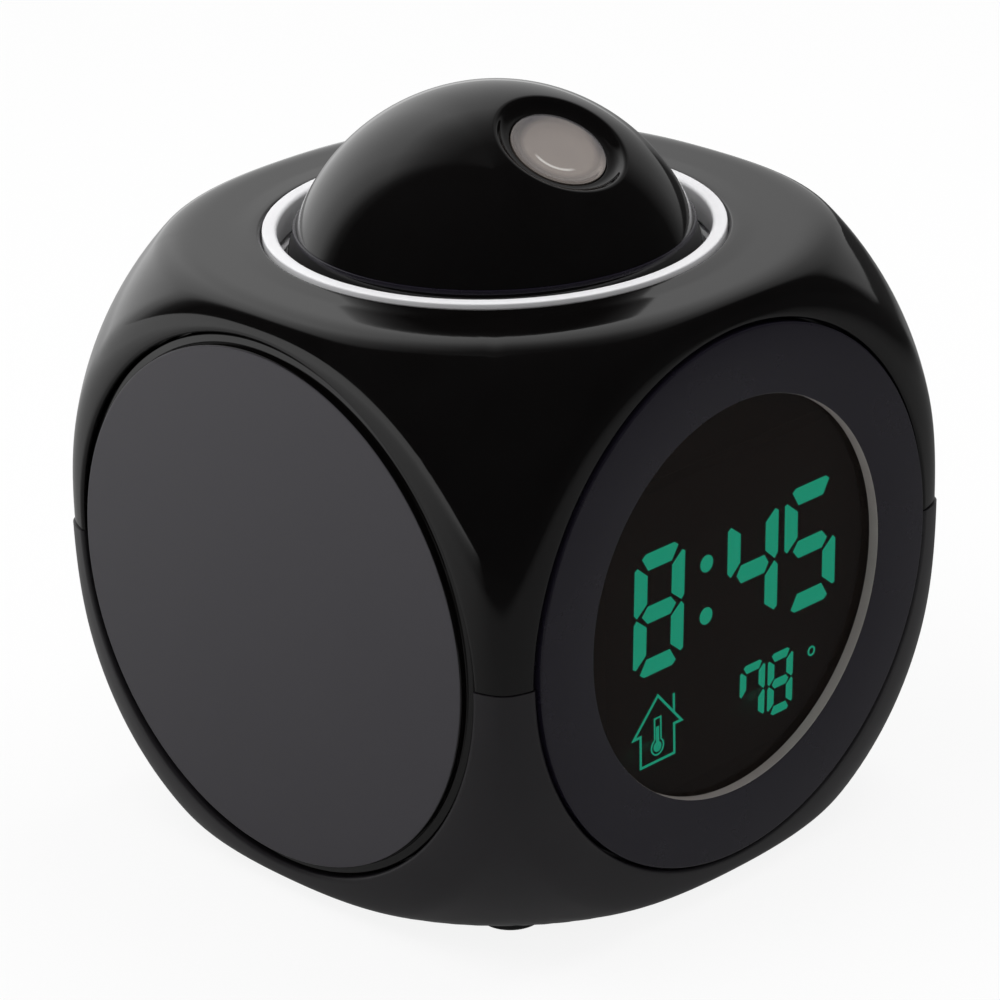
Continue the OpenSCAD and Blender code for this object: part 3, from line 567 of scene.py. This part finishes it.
def slot_cutter(x, y, length, width):
    """A long round-ended cutter through the floor."""
    clear_selection()
    bpy.ops.mesh.primitive_cylinder_add(vertices=24, radius=width / 2 * MM, depth=8 * MM,
                                        location=at(x, y, -TOP))
    cutter = bpy.context.object
    for point in cutter.data.vertices:
        point.co.y += (length - width) / 2 * MM * (1 if point.co.y > 0 else -1)
    return cutter


for k in range(-3, 4):
    reach = 2 * sqrt(GRILLE_R ** 2 - (SLOT_GAP * k) ** 2)
    cut_away(lower_shell, slot_cutter(SLOT_GAP * k, GRILLE_Y, reach, SLOT_WIDE))
for x in (-1, 1):
    for y in (-1, 1):
        clear_selection()
        bpy.ops.mesh.primitive_cylinder_add(vertices=64, radius=SEAT_R * MM, depth=SEAT_DEEP * MM,
                                            location=at(x * FOOT_AT, y * FOOT_AT, -TOP - STEP))
        cut_away(lower_shell, bpy.context.object)
smooth(lower_shell)
finish_piece(lower_shell, "lower_shell", "case", "satin_black", satin_black, "lower_case")

# %% [markdown]
# ## Turned pieces
# Panels, bezel, ring, ball and lens are all turned shapes. Each is drawn as half a section: a single
# point is walked along the outline by extruding it, and the outline is spun round its axis. Corners
# of the outline carry a radius, so every edge gets the small rounding that a mould leaves.

# %% Section and spin helpers
def rounded(corners, steps=5):
    """Replace each corner (radius, height, rounding) by a short arc."""
    outline = []
    for k, (x, y, bend) in enumerate(corners):
        if bend == 0:
            outline.append((x, y))
            continue
        here = np.array((x, y), float)
        before = np.array(corners[k - 1][:2], float) - here
        after = np.array(corners[k + 1][:2], float) - here
        before /= np.linalg.norm(before)
        after /= np.linalg.norm(after)
        half = np.arccos(np.clip(before @ after, -1, 1)) / 2
        middle = here + (before + after) / np.linalg.norm(before + after) * bend / sin(half)
        first = here + before * bend / tan(half) - middle
        last = here + after * bend / tan(half) - middle
        sweep = pi - 2 * half
        for part in np.linspace(0, 1, steps + 1):
            a, b = sin((1 - part) * sweep) / sin(sweep), sin(part * sweep) / sin(sweep)
            outline.append(tuple(middle + a * first + b * last))
    return outline


def turned(outline, steps=192):
    """Walk a point along half a section, in millimetres, and spin it round the upright axis."""
    clear_selection()
    bpy.ops.mesh.primitive_plane_add(size=MM)
    piece = bpy.context.object
    edit_all()
    bpy.ops.mesh.merge(type="CENTER")
    bpy.ops.transform.translate(value=(outline[0][0] * MM, 0, outline[0][1] * MM))
    for (r0, h0), (r1, h1) in zip(outline, outline[1:]):
        bpy.ops.mesh.extrude_region_move(
            TRANSFORM_OT_translate={"value": ((r1 - r0) * MM, 0, (h1 - h0) * MM)})
    bpy.ops.mesh.select_all(action="SELECT")
    bpy.ops.mesh.spin(steps=steps, angle=2 * pi, center=(0, 0, 0), axis=(0, 0, 1))
    bpy.ops.mesh.select_all(action="SELECT")
    bpy.ops.mesh.remove_doubles(threshold=1e-6)
    close_edit()
    return piece


def arc(radius, start, stop, steps):
    """Points of a round arc; angles are measured from the upright axis."""
    return [(radius * sin(a), radius * cos(a)) for a in np.linspace(start, stop, steps)]


example = rounded([(0, 0, 0), (5, 0, 1), (5, 5, 0)])
print("an outline with one rounded corner has", len(example), "points")

# %% [markdown]
# ## Side panels
# The two sides carry plain round covers. The charcoal face is flat to 39 mm. Round it runs a glossy
# black step, and a flange behind the wall holds the cover in the opening. The step is part of the
# same piece, so its faces get the glossy finish.

# %% Side panels
LEFT, RIGHT, FRONT = (-1, 0, 0), (1, 0, 0), (0, -1, 0)
FLAT_R = 39.0                  # radius of the charcoal face
FLANGE_R = 41.8                # radius of the flange behind the wall
BACK, FLANGE_TOP = 41.0, 43.6  # from the middle to the two sides of that flange
cover_outline = rounded([(0, FACE, 0), (FLAT_R, FACE, 0.35), (39.15, 46.35, 0.15), (40.4, 46.2, 0.3),
                         (40.4, FLANGE_TOP, 0), (FLANGE_R, FLANGE_TOP, 0.2), (FLANGE_R, BACK, 0),
                         (0, BACK, 0)], 6)
flange = [corner[0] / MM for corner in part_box("side_panel_left")]
print("the cover reaches from", round(flange[0], 2), "to", round(flange[1], 2), "mm")
for name, towards in (("side_cover_left", LEFT), ("side_cover_right", RIGHT)):
    cover = turned(cover_outline)
    point_along(cover, towards)
    smooth(cover)
    finish_piece(cover, name, "case", "charcoal", charcoal, name.replace("cover", "panel"))
    second_finish(cover, gloss_black, lambda x, y, z: hypot(y, z) > FLAT_R - 0.1)

# %% [markdown]
# ## Front bezel
# The bezel is a flat dark ring round the window. Its inner wall is painted a light grey, a painted
# highlight for the light that the wall catches, so those faces get a second finish.

# %% Front bezel
WINDOW = 30.0                  # radius of the window
PANE = 45.8                    # from the middle to the face of the pane
bezel = turned(rounded([(WINDOW, PANE, 0), (WINDOW, FACE, 0.2), (40.3, FACE, 0.3),
                        (40.3, FLANGE_TOP, 0), (FLANGE_R, FLANGE_TOP, 0.2), (FLANGE_R, BACK, 0),
                        (32.3, BACK, 0), (32.3, PANE, 0), (WINDOW, PANE, 0)], 5))
point_along(bezel, FRONT)
smooth(bezel)
finish_piece(bezel, "bezel", "case", "satin_black", bezel_black, "front_bezel")
# the inner wall of the window gets the painted highlight grey
second_finish(bezel, painted_wall_light, lambda x, y, z: hypot(x, z) < WINDOW + 0.02 and y < -PANE)

# %% [markdown]
# ## Ring, ball and lens
# The white ring is a press key. Its top has a flat of about two millimetres and a soft inner edge, and
# four guide pins under its flange slide in the deck below.
# The ball has two halves that meet in a seam: the glossy dome with the lens, and the skirt below it.
# The dome is spun round the lens line, so that the dip round the lens is exact, and then cut flat at
# the seam.

# %% Press ring
RING_FOOT, RING_TOP = 40.85, 45.5   # heights of the flange's underside and of the ring's top
PIN_AT = 37.2                  # the guide pins stand on this circle, under the flange
press_ring = turned(rounded([(31.5, 43.0, 0), (31.4, RING_TOP, 0.6), (33.6, RING_TOP, 0.25),
                             (33.6, 42.35, 0), (35.6, 42.35, 0.2), (35.6, RING_FOOT, 0),
                             (31.8, RING_FOOT, 0), (31.5, 43.0, 0)], 6))
point_along(press_ring)
ring_parts = [press_ring]
for turn in (20, 160, 200, 340):
    pin = turned(rounded([(0, 25.6, 0), (1.5, 25.6, 0.3), (1.5, RING_FOOT, 0), (2.1, RING_FOOT, 0),
                          (2.1, 42.3, 0.2), (0, 42.3, 0)], 3), 32)
    point_along(pin, centre=at(PIN_AT * cos(radians(turn)), PIN_AT * sin(radians(turn)), 0))
    ring_parts.append(pin)
join(ring_parts)
smooth(press_ring)
finish_piece(press_ring, "press_ring", "ring", "white", white_plastic, "snooze_ring")

# %% Dome of the ball
LENS = (0, -cos(LENS_UP), sin(LENS_UP))
BALL_WALL = 2.2
MOUTH, TUBE_TOP = 7.3, 26.0    # radius of the hole for the lens, and height of its lower edge
BRIM = 9.73                    # here the wall of the dip would meet the ball, before rounding
lip_angle = np.arcsin((BRIM + 1.2) / BALL)
dome_outline = rounded([(MOUTH, TUBE_TOP, 0), (MOUTH, 28.05, 0.15), (8.5, 28.2, 2.4),
                        (BRIM, sqrt(BALL ** 2 - BRIM ** 2), 0.9),
                        (BALL * sin(lip_angle), BALL * cos(lip_angle), 0)], 8)
dome_outline += arc(BALL, lip_angle, radians(150), 110)[1:]
dome_outline += arc(BALL - BALL_WALL, radians(150), radians(18), 80)
dome = turned(dome_outline + [(MOUTH, TUBE_TOP)])
point_along(dome, LENS, at(0, 0, BALL_AT))
pick(dome)
edit_all()
bpy.ops.mesh.bisect(plane_co=at(0, 0, SEAM), plane_no=(0, 0, 1), use_fill=True,
                    clear_inner=True, threshold=1e-7)
bpy.ops.object.mode_set(mode="OBJECT")
smooth(dome, 30)
finish_piece(dome, "dome", "ball", "gloss_black", gloss_black, "dome_cap")

# %% [markdown]
# The skirt of the ball is right as it is. Its upper edge stands a hair proud of the dome, as the thin
# light line in the seam shows, so a fine bead is laid there.

# %% Bead of the seam
seam_r = sqrt(BALL ** 2 - (SEAM - BALL_AT) ** 2)
BEAD_TOP, BEAD_FOOT = SEAM - 0.05, SEAM - 0.6
bead = turned(rounded([(seam_r - 0.3, BEAD_TOP, 0), (seam_r + 0.28, BEAD_TOP, 0.12),
                       (seam_r + 0.42, BEAD_FOOT, 0), (seam_r + 0.1, BEAD_FOOT, 0),
                       (seam_r - 0.3, BEAD_TOP, 0)], 4))
point_along(bead)
smooth(bead, 50)
finish_piece(bead, "seam_bead", "ball", "satin_black", bezel_black)

# %% [markdown]
# ## Greys from numbers
# The lens, the room and the floor need finishes that change with a place or a direction. A few small
# helpers add the nodes for sums, for ramps of grey and for mixes to a tree of nodes.

# %% Node helpers
def feed(tree, value, socket):
    """Set a socket to a number, a grey or a colour, or link it to what another socket gives."""
    if isinstance(value, bpy.types.NodeSocket):
        tree.links.new(value, socket)
    elif isinstance(value, (int, float)) and socket.type == "RGBA":
        socket.default_value = (value, value, value, 1)
    else:
        socket.default_value = value


def calc(tree, operation, *values):
    """A Math node fed by sockets or numbers."""
    node = tree.nodes.new("ShaderNodeMath")
    node.operation = operation
    for value, socket in zip(values, node.inputs):
        feed(tree, value, socket)
    return node.outputs[0]


def weighted(tree, first, second, weights):
    """The sum of two sockets, each times its weight."""
    parts = [calc(tree, "MULTIPLY", value, weight) for value, weight in zip((first, second), weights)]
    return calc(tree, "ADD", *parts)


def distance(tree, first, second):
    """The length of a slope from its two sides."""
    squares = [calc(tree, "POWER", side, 2.0) for side in (first, second)]
    return calc(tree, "SQRT", calc(tree, "ADD", *squares))


def ramp(tree, source, stops):
    """A colour ramp of greys from (place, level) pairs."""
    node = tree.nodes.new("ShaderNodeValToRGB")
    while len(node.color_ramp.elements) < len(stops):
        node.color_ramp.elements.new(0.5)
    for element, (place, grey) in zip(node.color_ramp.elements, stops):
        element.position = place
        element.color = (grey, grey, grey, 1)
    tree.links.new(source, node.inputs["Fac"])
    return node.outputs["Color"]


def mixed(tree, factor, first, second):
    """Mix two greys, colours or sockets."""
    node = tree.nodes.new("ShaderNodeMix")
    node.data_type = "RGBA"
    for value, socket in ((factor, "Factor"), (first, "A"), (second, "B")):
        feed(tree, value, node.inputs[socket])
    return node.outputs["Result"]


print("helpers for greys are ready")

# %% [markdown]
# The lens is a shallow clear dome over a pale bowl with polished walls. The clear dome is made
# see-through with Alpha. The bowl carries painted light for what is seen through a real lens: a beige
# middle, a pale painted highlight crescent on the near side, where the mouth of the tube shows, and a
# darker painted shade band on the far side.

# %% Lens and its bowl
LENS_SEAT, LENS_RIM = 28.15, 28.45
LENS_R = 7.1
LENS_HIGH = 1.1                # the lens bulges this far over its rim
LENS_HAZE = 0.12               # share of the light that the lens holds back
lens_clear = plastic("lens_clear", shade(176, 174, 176), shade(168, 166, 168), (0.02, 0.04),
                     500, 0.0002)
lens_clear.node_tree.nodes["Principled BSDF"].inputs["Alpha"].default_value = LENS_HAZE
bulge = [(LENS_R * t, LENS_RIM + LENS_HIGH * (1 - t * t)) for t in np.linspace(0, 0.96, 16)]
lens = turned(bulge + rounded([bulge[-1] + (0,), (LENS_R, 28.5, 0.2), (LENS_R, LENS_SEAT, 0)], 4)[1:]
              + [(0, LENS_SEAT)], 96)
point_along(lens, LENS, at(0, 0, BALL_AT))
smooth(lens, 50)
finish_piece(lens, "projection_lens", "ball", "lens", lens_clear, "projector_lens")

lens_bowl = plastic("lens_bowl", shade(150, 139, 130), shade(142, 131, 123), (0.1, 0.16), 900, 0.0004)
tree = lens_bowl.node_tree
bowl_shader = tree.nodes["Principled BSDF"]
spot_on = tree.nodes.new("ShaderNodeTexCoord")
from_axis = tree.nodes.new("ShaderNodeVectorMath")
from_axis.operation = "SUBTRACT"
tree.links.new(spot_on.outputs["Object"], from_axis.inputs[0])
from_axis.inputs[1].default_value = at(1.24, 0.65, BALL_AT + 0.34)    # the bowl's floor looks shifted


def measured(direction):
    """How far a place lies along a direction from the middle of the ball, in centimetres."""
    dot = tree.nodes.new("ShaderNodeVectorMath")
    dot.operation = "DOT_PRODUCT"
    tree.links.new(from_axis.outputs[0], dot.inputs[0])
    dot.inputs[1].default_value = direction
    return calc(tree, "MULTIPLY", dot.outputs["Value"], 100.0)


ACROSS_LENS = Vector((1, 0, 0))
DOWN_LENS = Vector(LENS).cross(ACROSS_LENS) * -1
NEAR_SIDE = (-0.804 * ACROSS_LENS + 0.598 * DOWN_LENS).normalized()
far_out = distance(tree, measured(ACROSS_LENS), measured(DOWN_LENS))
nearness = calc(tree, "DIVIDE", measured(NEAR_SIDE), calc(tree, "ADD", far_out, 0.001))
farness = calc(tree, "MULTIPLY", nearness, -1.0)
# a thin ring that, kept to the near side, becomes the painted highlight crescent
line = ramp(tree, far_out, [(0, 0), (0.375, 0), (0.4, 1), (0.42, 1), (0.44, 0), (1, 0)])
near_mask = ramp(tree, nearness, [(0, 0), (0.66, 0), (0.86, 1), (1, 1)])
# the outer band on the far side, which becomes the painted shade
rim_band = ramp(tree, far_out, [(0, 0), (0.54, 0), (0.6, 1), (1, 1)])
far_mask = ramp(tree, farness, [(0, 0), (0.1, 0), (0.5, 1), (1, 1)])
painted_highlight_crescent = calc(tree, "MULTIPLY", line, near_mask)
shadow_band = calc(tree, "MULTIPLY", rim_band, far_mask)
plain_colour = bowl_shader.inputs["Base Color"].links[0].from_socket
# painted shade: a darker colour laid on the far side of the bowl
painted_shade_colour = mixed(tree, shadow_band, plain_colour, shade(112, 103, 106))
# painted highlight: a pale crescent laid on the near side of the bowl
tree.links.new(mixed(tree, painted_highlight_crescent, painted_shade_colour, shade(236, 232, 226)), bowl_shader.inputs["Base Color"])
polish = ramp(tree, far_out, [(0, 0.05), (0.5, 0.05), (0.6, 0.7), (1, 0.7)])
tree.links.new(polish, bowl_shader.inputs["Metallic"])
BOWL_R, BOWL_FLOOR, BOWL_DEEP = 6.9, 27.0, 1.1
hollow = [(BOWL_R * t, BOWL_FLOOR + BOWL_DEEP * t ** 6) for t in np.linspace(0, 1, 24)]
bowl = turned(hollow + [(LENS_R, 28.12), (LENS_R, TUBE_TOP), (0, TUBE_TOP)], 96)
point_along(bowl, LENS, at(0, 0, BALL_AT))
smooth(bowl, 50)
finish_piece(bowl, "lens_bowl", "ball", "lens", lens_bowl)

# %% [markdown]
# ## Lit figures
# The display shows 8:45 in large seven-bar figures, a small 78 with a ring for degrees, and a house
# with a thermometer. Each bar is a thin plate with mitred ends. One plate is made from a plane whose
# outline is rebuilt from its corners and then given a little thickness.

# %% Bars of the figures
PLATE_AT, PLATE_THICK = -44.02, 0.08
SLANT = tan(radians(2.5))      # the first figure leans by this much
plates = []


def plate(outline, slant=SLANT, foot=0.0):
    """A thin flat plate in the display, from its outline seen from the front."""
    clear_selection()
    bpy.ops.mesh.primitive_circle_add(vertices=len(outline), radius=MM, fill_type="NGON")
    piece = bpy.context.object
    for point, (x, z) in zip(piece.data.vertices, outline):
        point.co = at(x + slant * (z - foot), PLATE_AT, z)
    edit_all()
    bpy.ops.mesh.extrude_region_move(TRANSFORM_OT_translate={"value": (0, -PLATE_THICK * MM, 0)})
    close_edit()
    plates.append(piece)


def bar_outlines(left, right, low, high, bar, gap, nose, half):
    """The seven bars of a figure by the usual letters, from its outer box.

    bar is the stroke of the figure, gap the room between bars, nose the length of a bar's blunt tip,
    and half is half the height of the middle bar.
    """
    mid = (low + high) / 2
    top = [(left + nose + gap, high - 0.75 * nose), (left + 2 * nose + gap, high),
           (right - 2 * nose - gap, high), (right - nose - gap, high - 0.75 * nose),
           (right - bar - 0.2 * gap, high - bar), (left + bar + 0.2 * gap, high - bar)]
    tall = [(left, high - 2 * nose - 0.6 * gap), (left + 0.7 * nose, high - nose - 1.3 * gap),
            (left + bar, high - bar - 1.1 * gap), (left + bar, mid + 0.9 * (half + gap)),
            (left + 0.7 * nose, mid + 0.25 * gap), (left, mid + nose)]
    cross = [(left + nose + 1.3 * gap, mid), (left + bar + 0.3 * gap, mid + half),
             (right - bar - 0.3 * gap, mid + half), (right - nose - 1.3 * gap, mid),
             (right - bar - 0.3 * gap, mid - half), (left + bar + 0.3 * gap, mid - half)]

    def over(points):
        """The same bar upside down."""
        return [(x, 2 * mid - z) for x, z in points]

    def across(points):
        """The same bar from left to right."""
        return [(left + right - x, z) for x, z in points]

    return {"a": top, "f": tall, "g": cross, "b": across(tall), "d": over(top), "e": over(tall),
            "c": across(over(tall))}


BARS = {"8": "abcdefg", "4": "fgbc", "5": "afgcd", "7": "fabc"}


def figure(sign, *sizes, slant=SLANT):
    """The bars of one figure, which leans about its middle."""
    outlines = bar_outlines(*sizes)
    for letter in BARS[sign]:
        plate(outlines[letter], slant, (sizes[2] + sizes[3]) / 2)


figure("8", -18.27, -8.01, -7.71, 11.01, 2.59, 0.68, 0.77, 1.29)
figure("4", 1.10, 11.82, -8.51, 11.22, 2.65, 0.79, 0.96, 1.38, slant=0.029)
figure("5", 13.31, 24.41, -8.60, 10.84, 2.73, 0.87, 0.73, 1.33, slant=0.021)
figure("7", 3.63, 8.97, -23.24, -13.51, 1.29, 0.34, 0.41, 0.82, slant=0.036)
figure("8", 9.66, 15.08, -23.45, -13.67, 1.35, 0.41, 0.42, 0.70, slant=0.035)
print("bars made:", len(plates))

# %% [markdown]
# Dots, the degree ring and the thermometer bulb are round plates. The house is one line drawn with an
# even stroke: each length of the line becomes a narrow plate whose ends overlap its neighbours.

# %% Dots, ring and house
THIN, FINE = 0.38, 0.24        # strokes of the house and of the thermometer


def disc(x, z, radius):
    """The outline of a round dot."""
    return [(x + radius * cos(a), z + radius * sin(a)) for a in (2 * pi * k / 32 for k in range(32))]


def hoop(x, z, outer, inner, start=0.0, sweep=2 * pi):
    """A round stroke, in short plates."""
    for k in range(24):
        a, b = start + sweep * k / 24, start + sweep * (k + 1) / 24
        plate([(x + outer * cos(a), z + outer * sin(a)), (x + outer * cos(b), z + outer * sin(b)),
               (x + inner * cos(b), z + inner * sin(b)), (x + inner * cos(a), z + inner * sin(a))], 0)


def stroke(points, width, closed=False):
    """An even line through points, with mitred corners."""
    spots = [np.array(point, float) for point in points]
    count = len(spots)
    sides = []
    for k, here in enumerate(spots):
        ways = [here - spots[k - 1]] if k or closed else []
        ways += [spots[(k + 1) % count] - here] if k < count - 1 or closed else []
        norms = [np.array((-way[1], way[0])) / np.linalg.norm(way) for way in ways]
        mean = sum(norms) / len(norms)
        sides.append(mean / (mean @ mean) * width / 2)
    for k in range(count if closed else count - 1):
        n = (k + 1) % count
        plate([spots[k] + sides[k], spots[n] + sides[n], spots[n] - sides[n], spots[k] - sides[k]], 0)


plate(disc(-3.21, 5.47, 1.3), 0)
plate(disc(-3.44, -2.60, 1.3), 0)
hoop(19.26, -16.08, 0.8, 0.5)
house = [(-13.6, -11.5), (-18.7, -16.75), (-17.25, -16.75), (-17.3, -21.7), (-10.3, -21.7),
         (-10.3, -17.05), (-8.75, -17.05)]
stroke(house, THIN, closed=True)
stroke([(-10.3, -12.3), (-10.3, -15.1)], THIN)
stroke([(-14.35, -18.3), (-14.35, -14.95), (-13.05, -14.95), (-13.05, -18.3)], FINE)
hoop(-13.8, -19.45, 1.37, 1.13, radians(120), radians(298))
plate(disc(-13.8, -19.45, 0.8), 0)
plate([(-14.05, -19.2), (-13.45, -19.2), (-13.45, -16.3), (-14.05, -16.3)], 0)
figures = join(plates)
bpy.ops.object.transform_apply(location=True, rotation=True, scale=True)
finish_piece(figures, "lit_figures", "case", "lcd", figure_green)

# %% [markdown]
# ## Finishes of the remaining nodes
# Nodes whose shape is already right keep their mesh and only change their finish. The record names a
# material slot for each node, and each slot has its finish here.

# %% Dress the remaining nodes
OTHER_NAMES = {"white": "white_plastic", "lcd": "lcd_dark", "lens": "lens_clear"}
chosen = {entry["node"]: entry["material_slot"] for entry in frame["record"]["subparts"]}
chosen["ball_base"] = "gloss_black"
for node, slot in chosen.items():
    for holder in frame["nodes"][node].material_slots:
        holder.material = finishes[OTHER_NAMES.get(slot, slot)]
print("nodes dressed:", len(chosen))

# %% [markdown]
# ## Studio
# The clock stands on a pale floor before a white backdrop. The backdrop is behind it and reaches half
# way up, and the rest of the room is dark: this is what the glossy dome mirrors, a pale zone at its
# back and a dark one in front. Diffuse light is even, so every colour renders about as it is written.
# The camera sees the room as plain white.

# %% Room
LIGHT_LEVEL = 0.5              # the even light that falls on matt surfaces
DARK = 0.03                    # the dark part of the room, as a mirror sees it
BACKDROP = 160                 # where the backdrop stands, in degrees: 0 in front, 90 to the right
ACROSS = [(76, 0), (94, 0.25), (115, 0.35), (130, 0.57), (144, 0.75),
          (152, 0.96), (182, 1.0), (197, 0.7), (207, 0.1), (213, 0)]
UPWARD = [(0, 1), (0.68, 1), (0.76, 0.75), (0.84, 0.44), (0.96, 0.08)]
world = bpy.data.worlds.new("studio")
bpy.context.scene.world = world
world.use_nodes = True
tree = world.node_tree
sight = tree.nodes.new("ShaderNodeTexCoord")
parts = tree.nodes.new("ShaderNodeSeparateXYZ")
tree.links.new(sight.outputs["Generated"], parts.inputs["Vector"])
east, north = parts.outputs["X"], parts.outputs["Y"]
ahead = (sin(radians(BACKDROP)), -cos(radians(BACKDROP)))
forward = weighted(tree, east, north, ahead)
sideways = weighted(tree, east, north, (-ahead[1], ahead[0]))
round_by = calc(tree, "DIVIDE", calc(tree, "ARCTAN2", sideways, forward), 2 * pi)
share = calc(tree, "ADD", round_by, 0.5)
across_band = ramp(tree, share, [(0.5 + (angle - BACKDROP) / 360, grey) for angle, grey in ACROSS])
band = mixed(tree, 1, across_band, ramp(tree, parts.outputs["Z"], UPWARD))
band.node.blend_type = "MULTIPLY"
mirrored = mixed(tree, band, DARK, 1.0)
seen = tree.nodes.new("ShaderNodeLightPath")
for_glossy = mixed(tree, seen.outputs["Is Glossy Ray"], LIGHT_LEVEL, mirrored)
plain = calc(tree, "MAXIMUM", seen.outputs["Is Camera Ray"], seen.outputs["Is Transmission Ray"])
room = tree.nodes["Background"]
tree.links.new(mixed(tree, plain, for_glossy, 1.0), room.inputs["Color"])
room.inputs["Strength"].default_value = 1
print("backdrop is centred", BACKDROP, "degrees round from the front")

# %% [markdown]
# The floor is pale and matt. For the camera it is nearly all glow, so that it turns white, with a
# part that still takes the light and keeps the clock's shadow. Mirrors see it lit from behind: white
# at the back, a mid grey near the clock, and dark towards the camera. From below the floor is clear,
# so that the underside of the clock can be looked at.

# %% Floor
FLOOR_WIDE = 6                 # metres
FLOOR_AT = -0.2                # a hair under the feet, so that no two faces lie in one plane
FLOOR_GREY = 0.9
GLOW_SHARE = 0.88              # share of the floor's own glow in what the camera sees
clear_selection()
bpy.ops.mesh.primitive_plane_add(size=FLOOR_WIDE)
floor = bpy.context.object
floor.name = "floor"
floor.location.z = FLOOR_AT * MM
floor_look = bpy.data.materials.new("floor")
floor_look.use_nodes = True
tree = floor_look.node_tree
matt = tree.nodes["Principled BSDF"]
matt.inputs["Base Color"].default_value = (FLOOR_GREY, FLOOR_GREY, FLOOR_GREY, 1)
matt.inputs["Roughness"].default_value = 0.9
matt.inputs["Specular IOR Level"].default_value = 0
spot_on = tree.nodes.new("ShaderNodeTexCoord")
parts = tree.nodes.new("ShaderNodeSeparateXYZ")
tree.links.new(spot_on.outputs["Object"], parts.inputs["Vector"])
east, north = parts.outputs["X"], parts.outputs["Y"]
near_grey = ramp(tree, distance(tree, east, north), [(0, 0.22), (0.28, 0.2), (0.42, 0.04), (1, 0.04)])
behind = weighted(tree, east, north, (-0.4, 0.92))
to_back = ramp(tree, behind, [(0, 0), (0.04, 0.05), (0.2, 0.4), (0.45, 1), (1, 1)])
glow = tree.nodes.new("ShaderNodeEmission")
tree.links.new(mixed(tree, to_back, near_grey, 1.0), glow.inputs["Color"])
white_glow = tree.nodes.new("ShaderNodeEmission")


def mix_shaders(factor, first, second):
    """Mix two shaders of the floor by a factor."""
    node = tree.nodes.new("ShaderNodeMixShader")
    for socket, value in zip(node.inputs, (factor, first, second)):
        tree.links.new(value, socket)
    return node.outputs["Shader"]


seen = tree.nodes.new("ShaderNodeLightPath")
seen_from = tree.nodes.new("ShaderNodeNewGeometry")
clear = tree.nodes.new("ShaderNodeBsdfTransparent")
for_mirrors = mix_shaders(seen.outputs["Is Glossy Ray"], matt.outputs["BSDF"], glow.outputs["Emission"])
for_camera = mix_shaders(calc(tree, "MULTIPLY", seen.outputs["Is Camera Ray"], GLOW_SHARE),
                         for_mirrors, white_glow.outputs["Emission"])
one_sided = mix_shaders(seen_from.outputs["Backfacing"], for_camera, clear.outputs["BSDF"])
tree.links.new(one_sided, tree.nodes["Material Output"].inputs["Surface"])
floor.data.materials.append(floor_look)
print("floor is", floor.dimensions.x, "m wide")

# %% [markdown]
# Two broad soft lamps stand high above the clock. The left one gives the white ring its brighter far
# side, and the right one reaches the ring's inner wall on the other side of the ball.

# %% Soft lamps
CLOCK = Vector((0, 0, 0.05))   # the lamps are turned to this point


def soft_lamp(name, spot, size, power):
    """A square soft lamp at a spot, turned to the clock."""
    data = bpy.data.lights.new(name, "AREA")
    data.size = size
    data.energy = power
    lamp = bpy.data.objects.new(name, data)
    bpy.context.scene.collection.objects.link(lamp)
    lamp.location = spot
    lamp.rotation_euler = (CLOCK - Vector(spot)).to_track_quat("-Z", "Y").to_euler()
    lamp.visible_glossy = False


soft_lamp("left_lamp", (-0.35, 0.25, 0.8), 0.6, 3.5)
soft_lamp("right_lamp", (0.36, -0.05, 0.85), 0.5, 2.7)
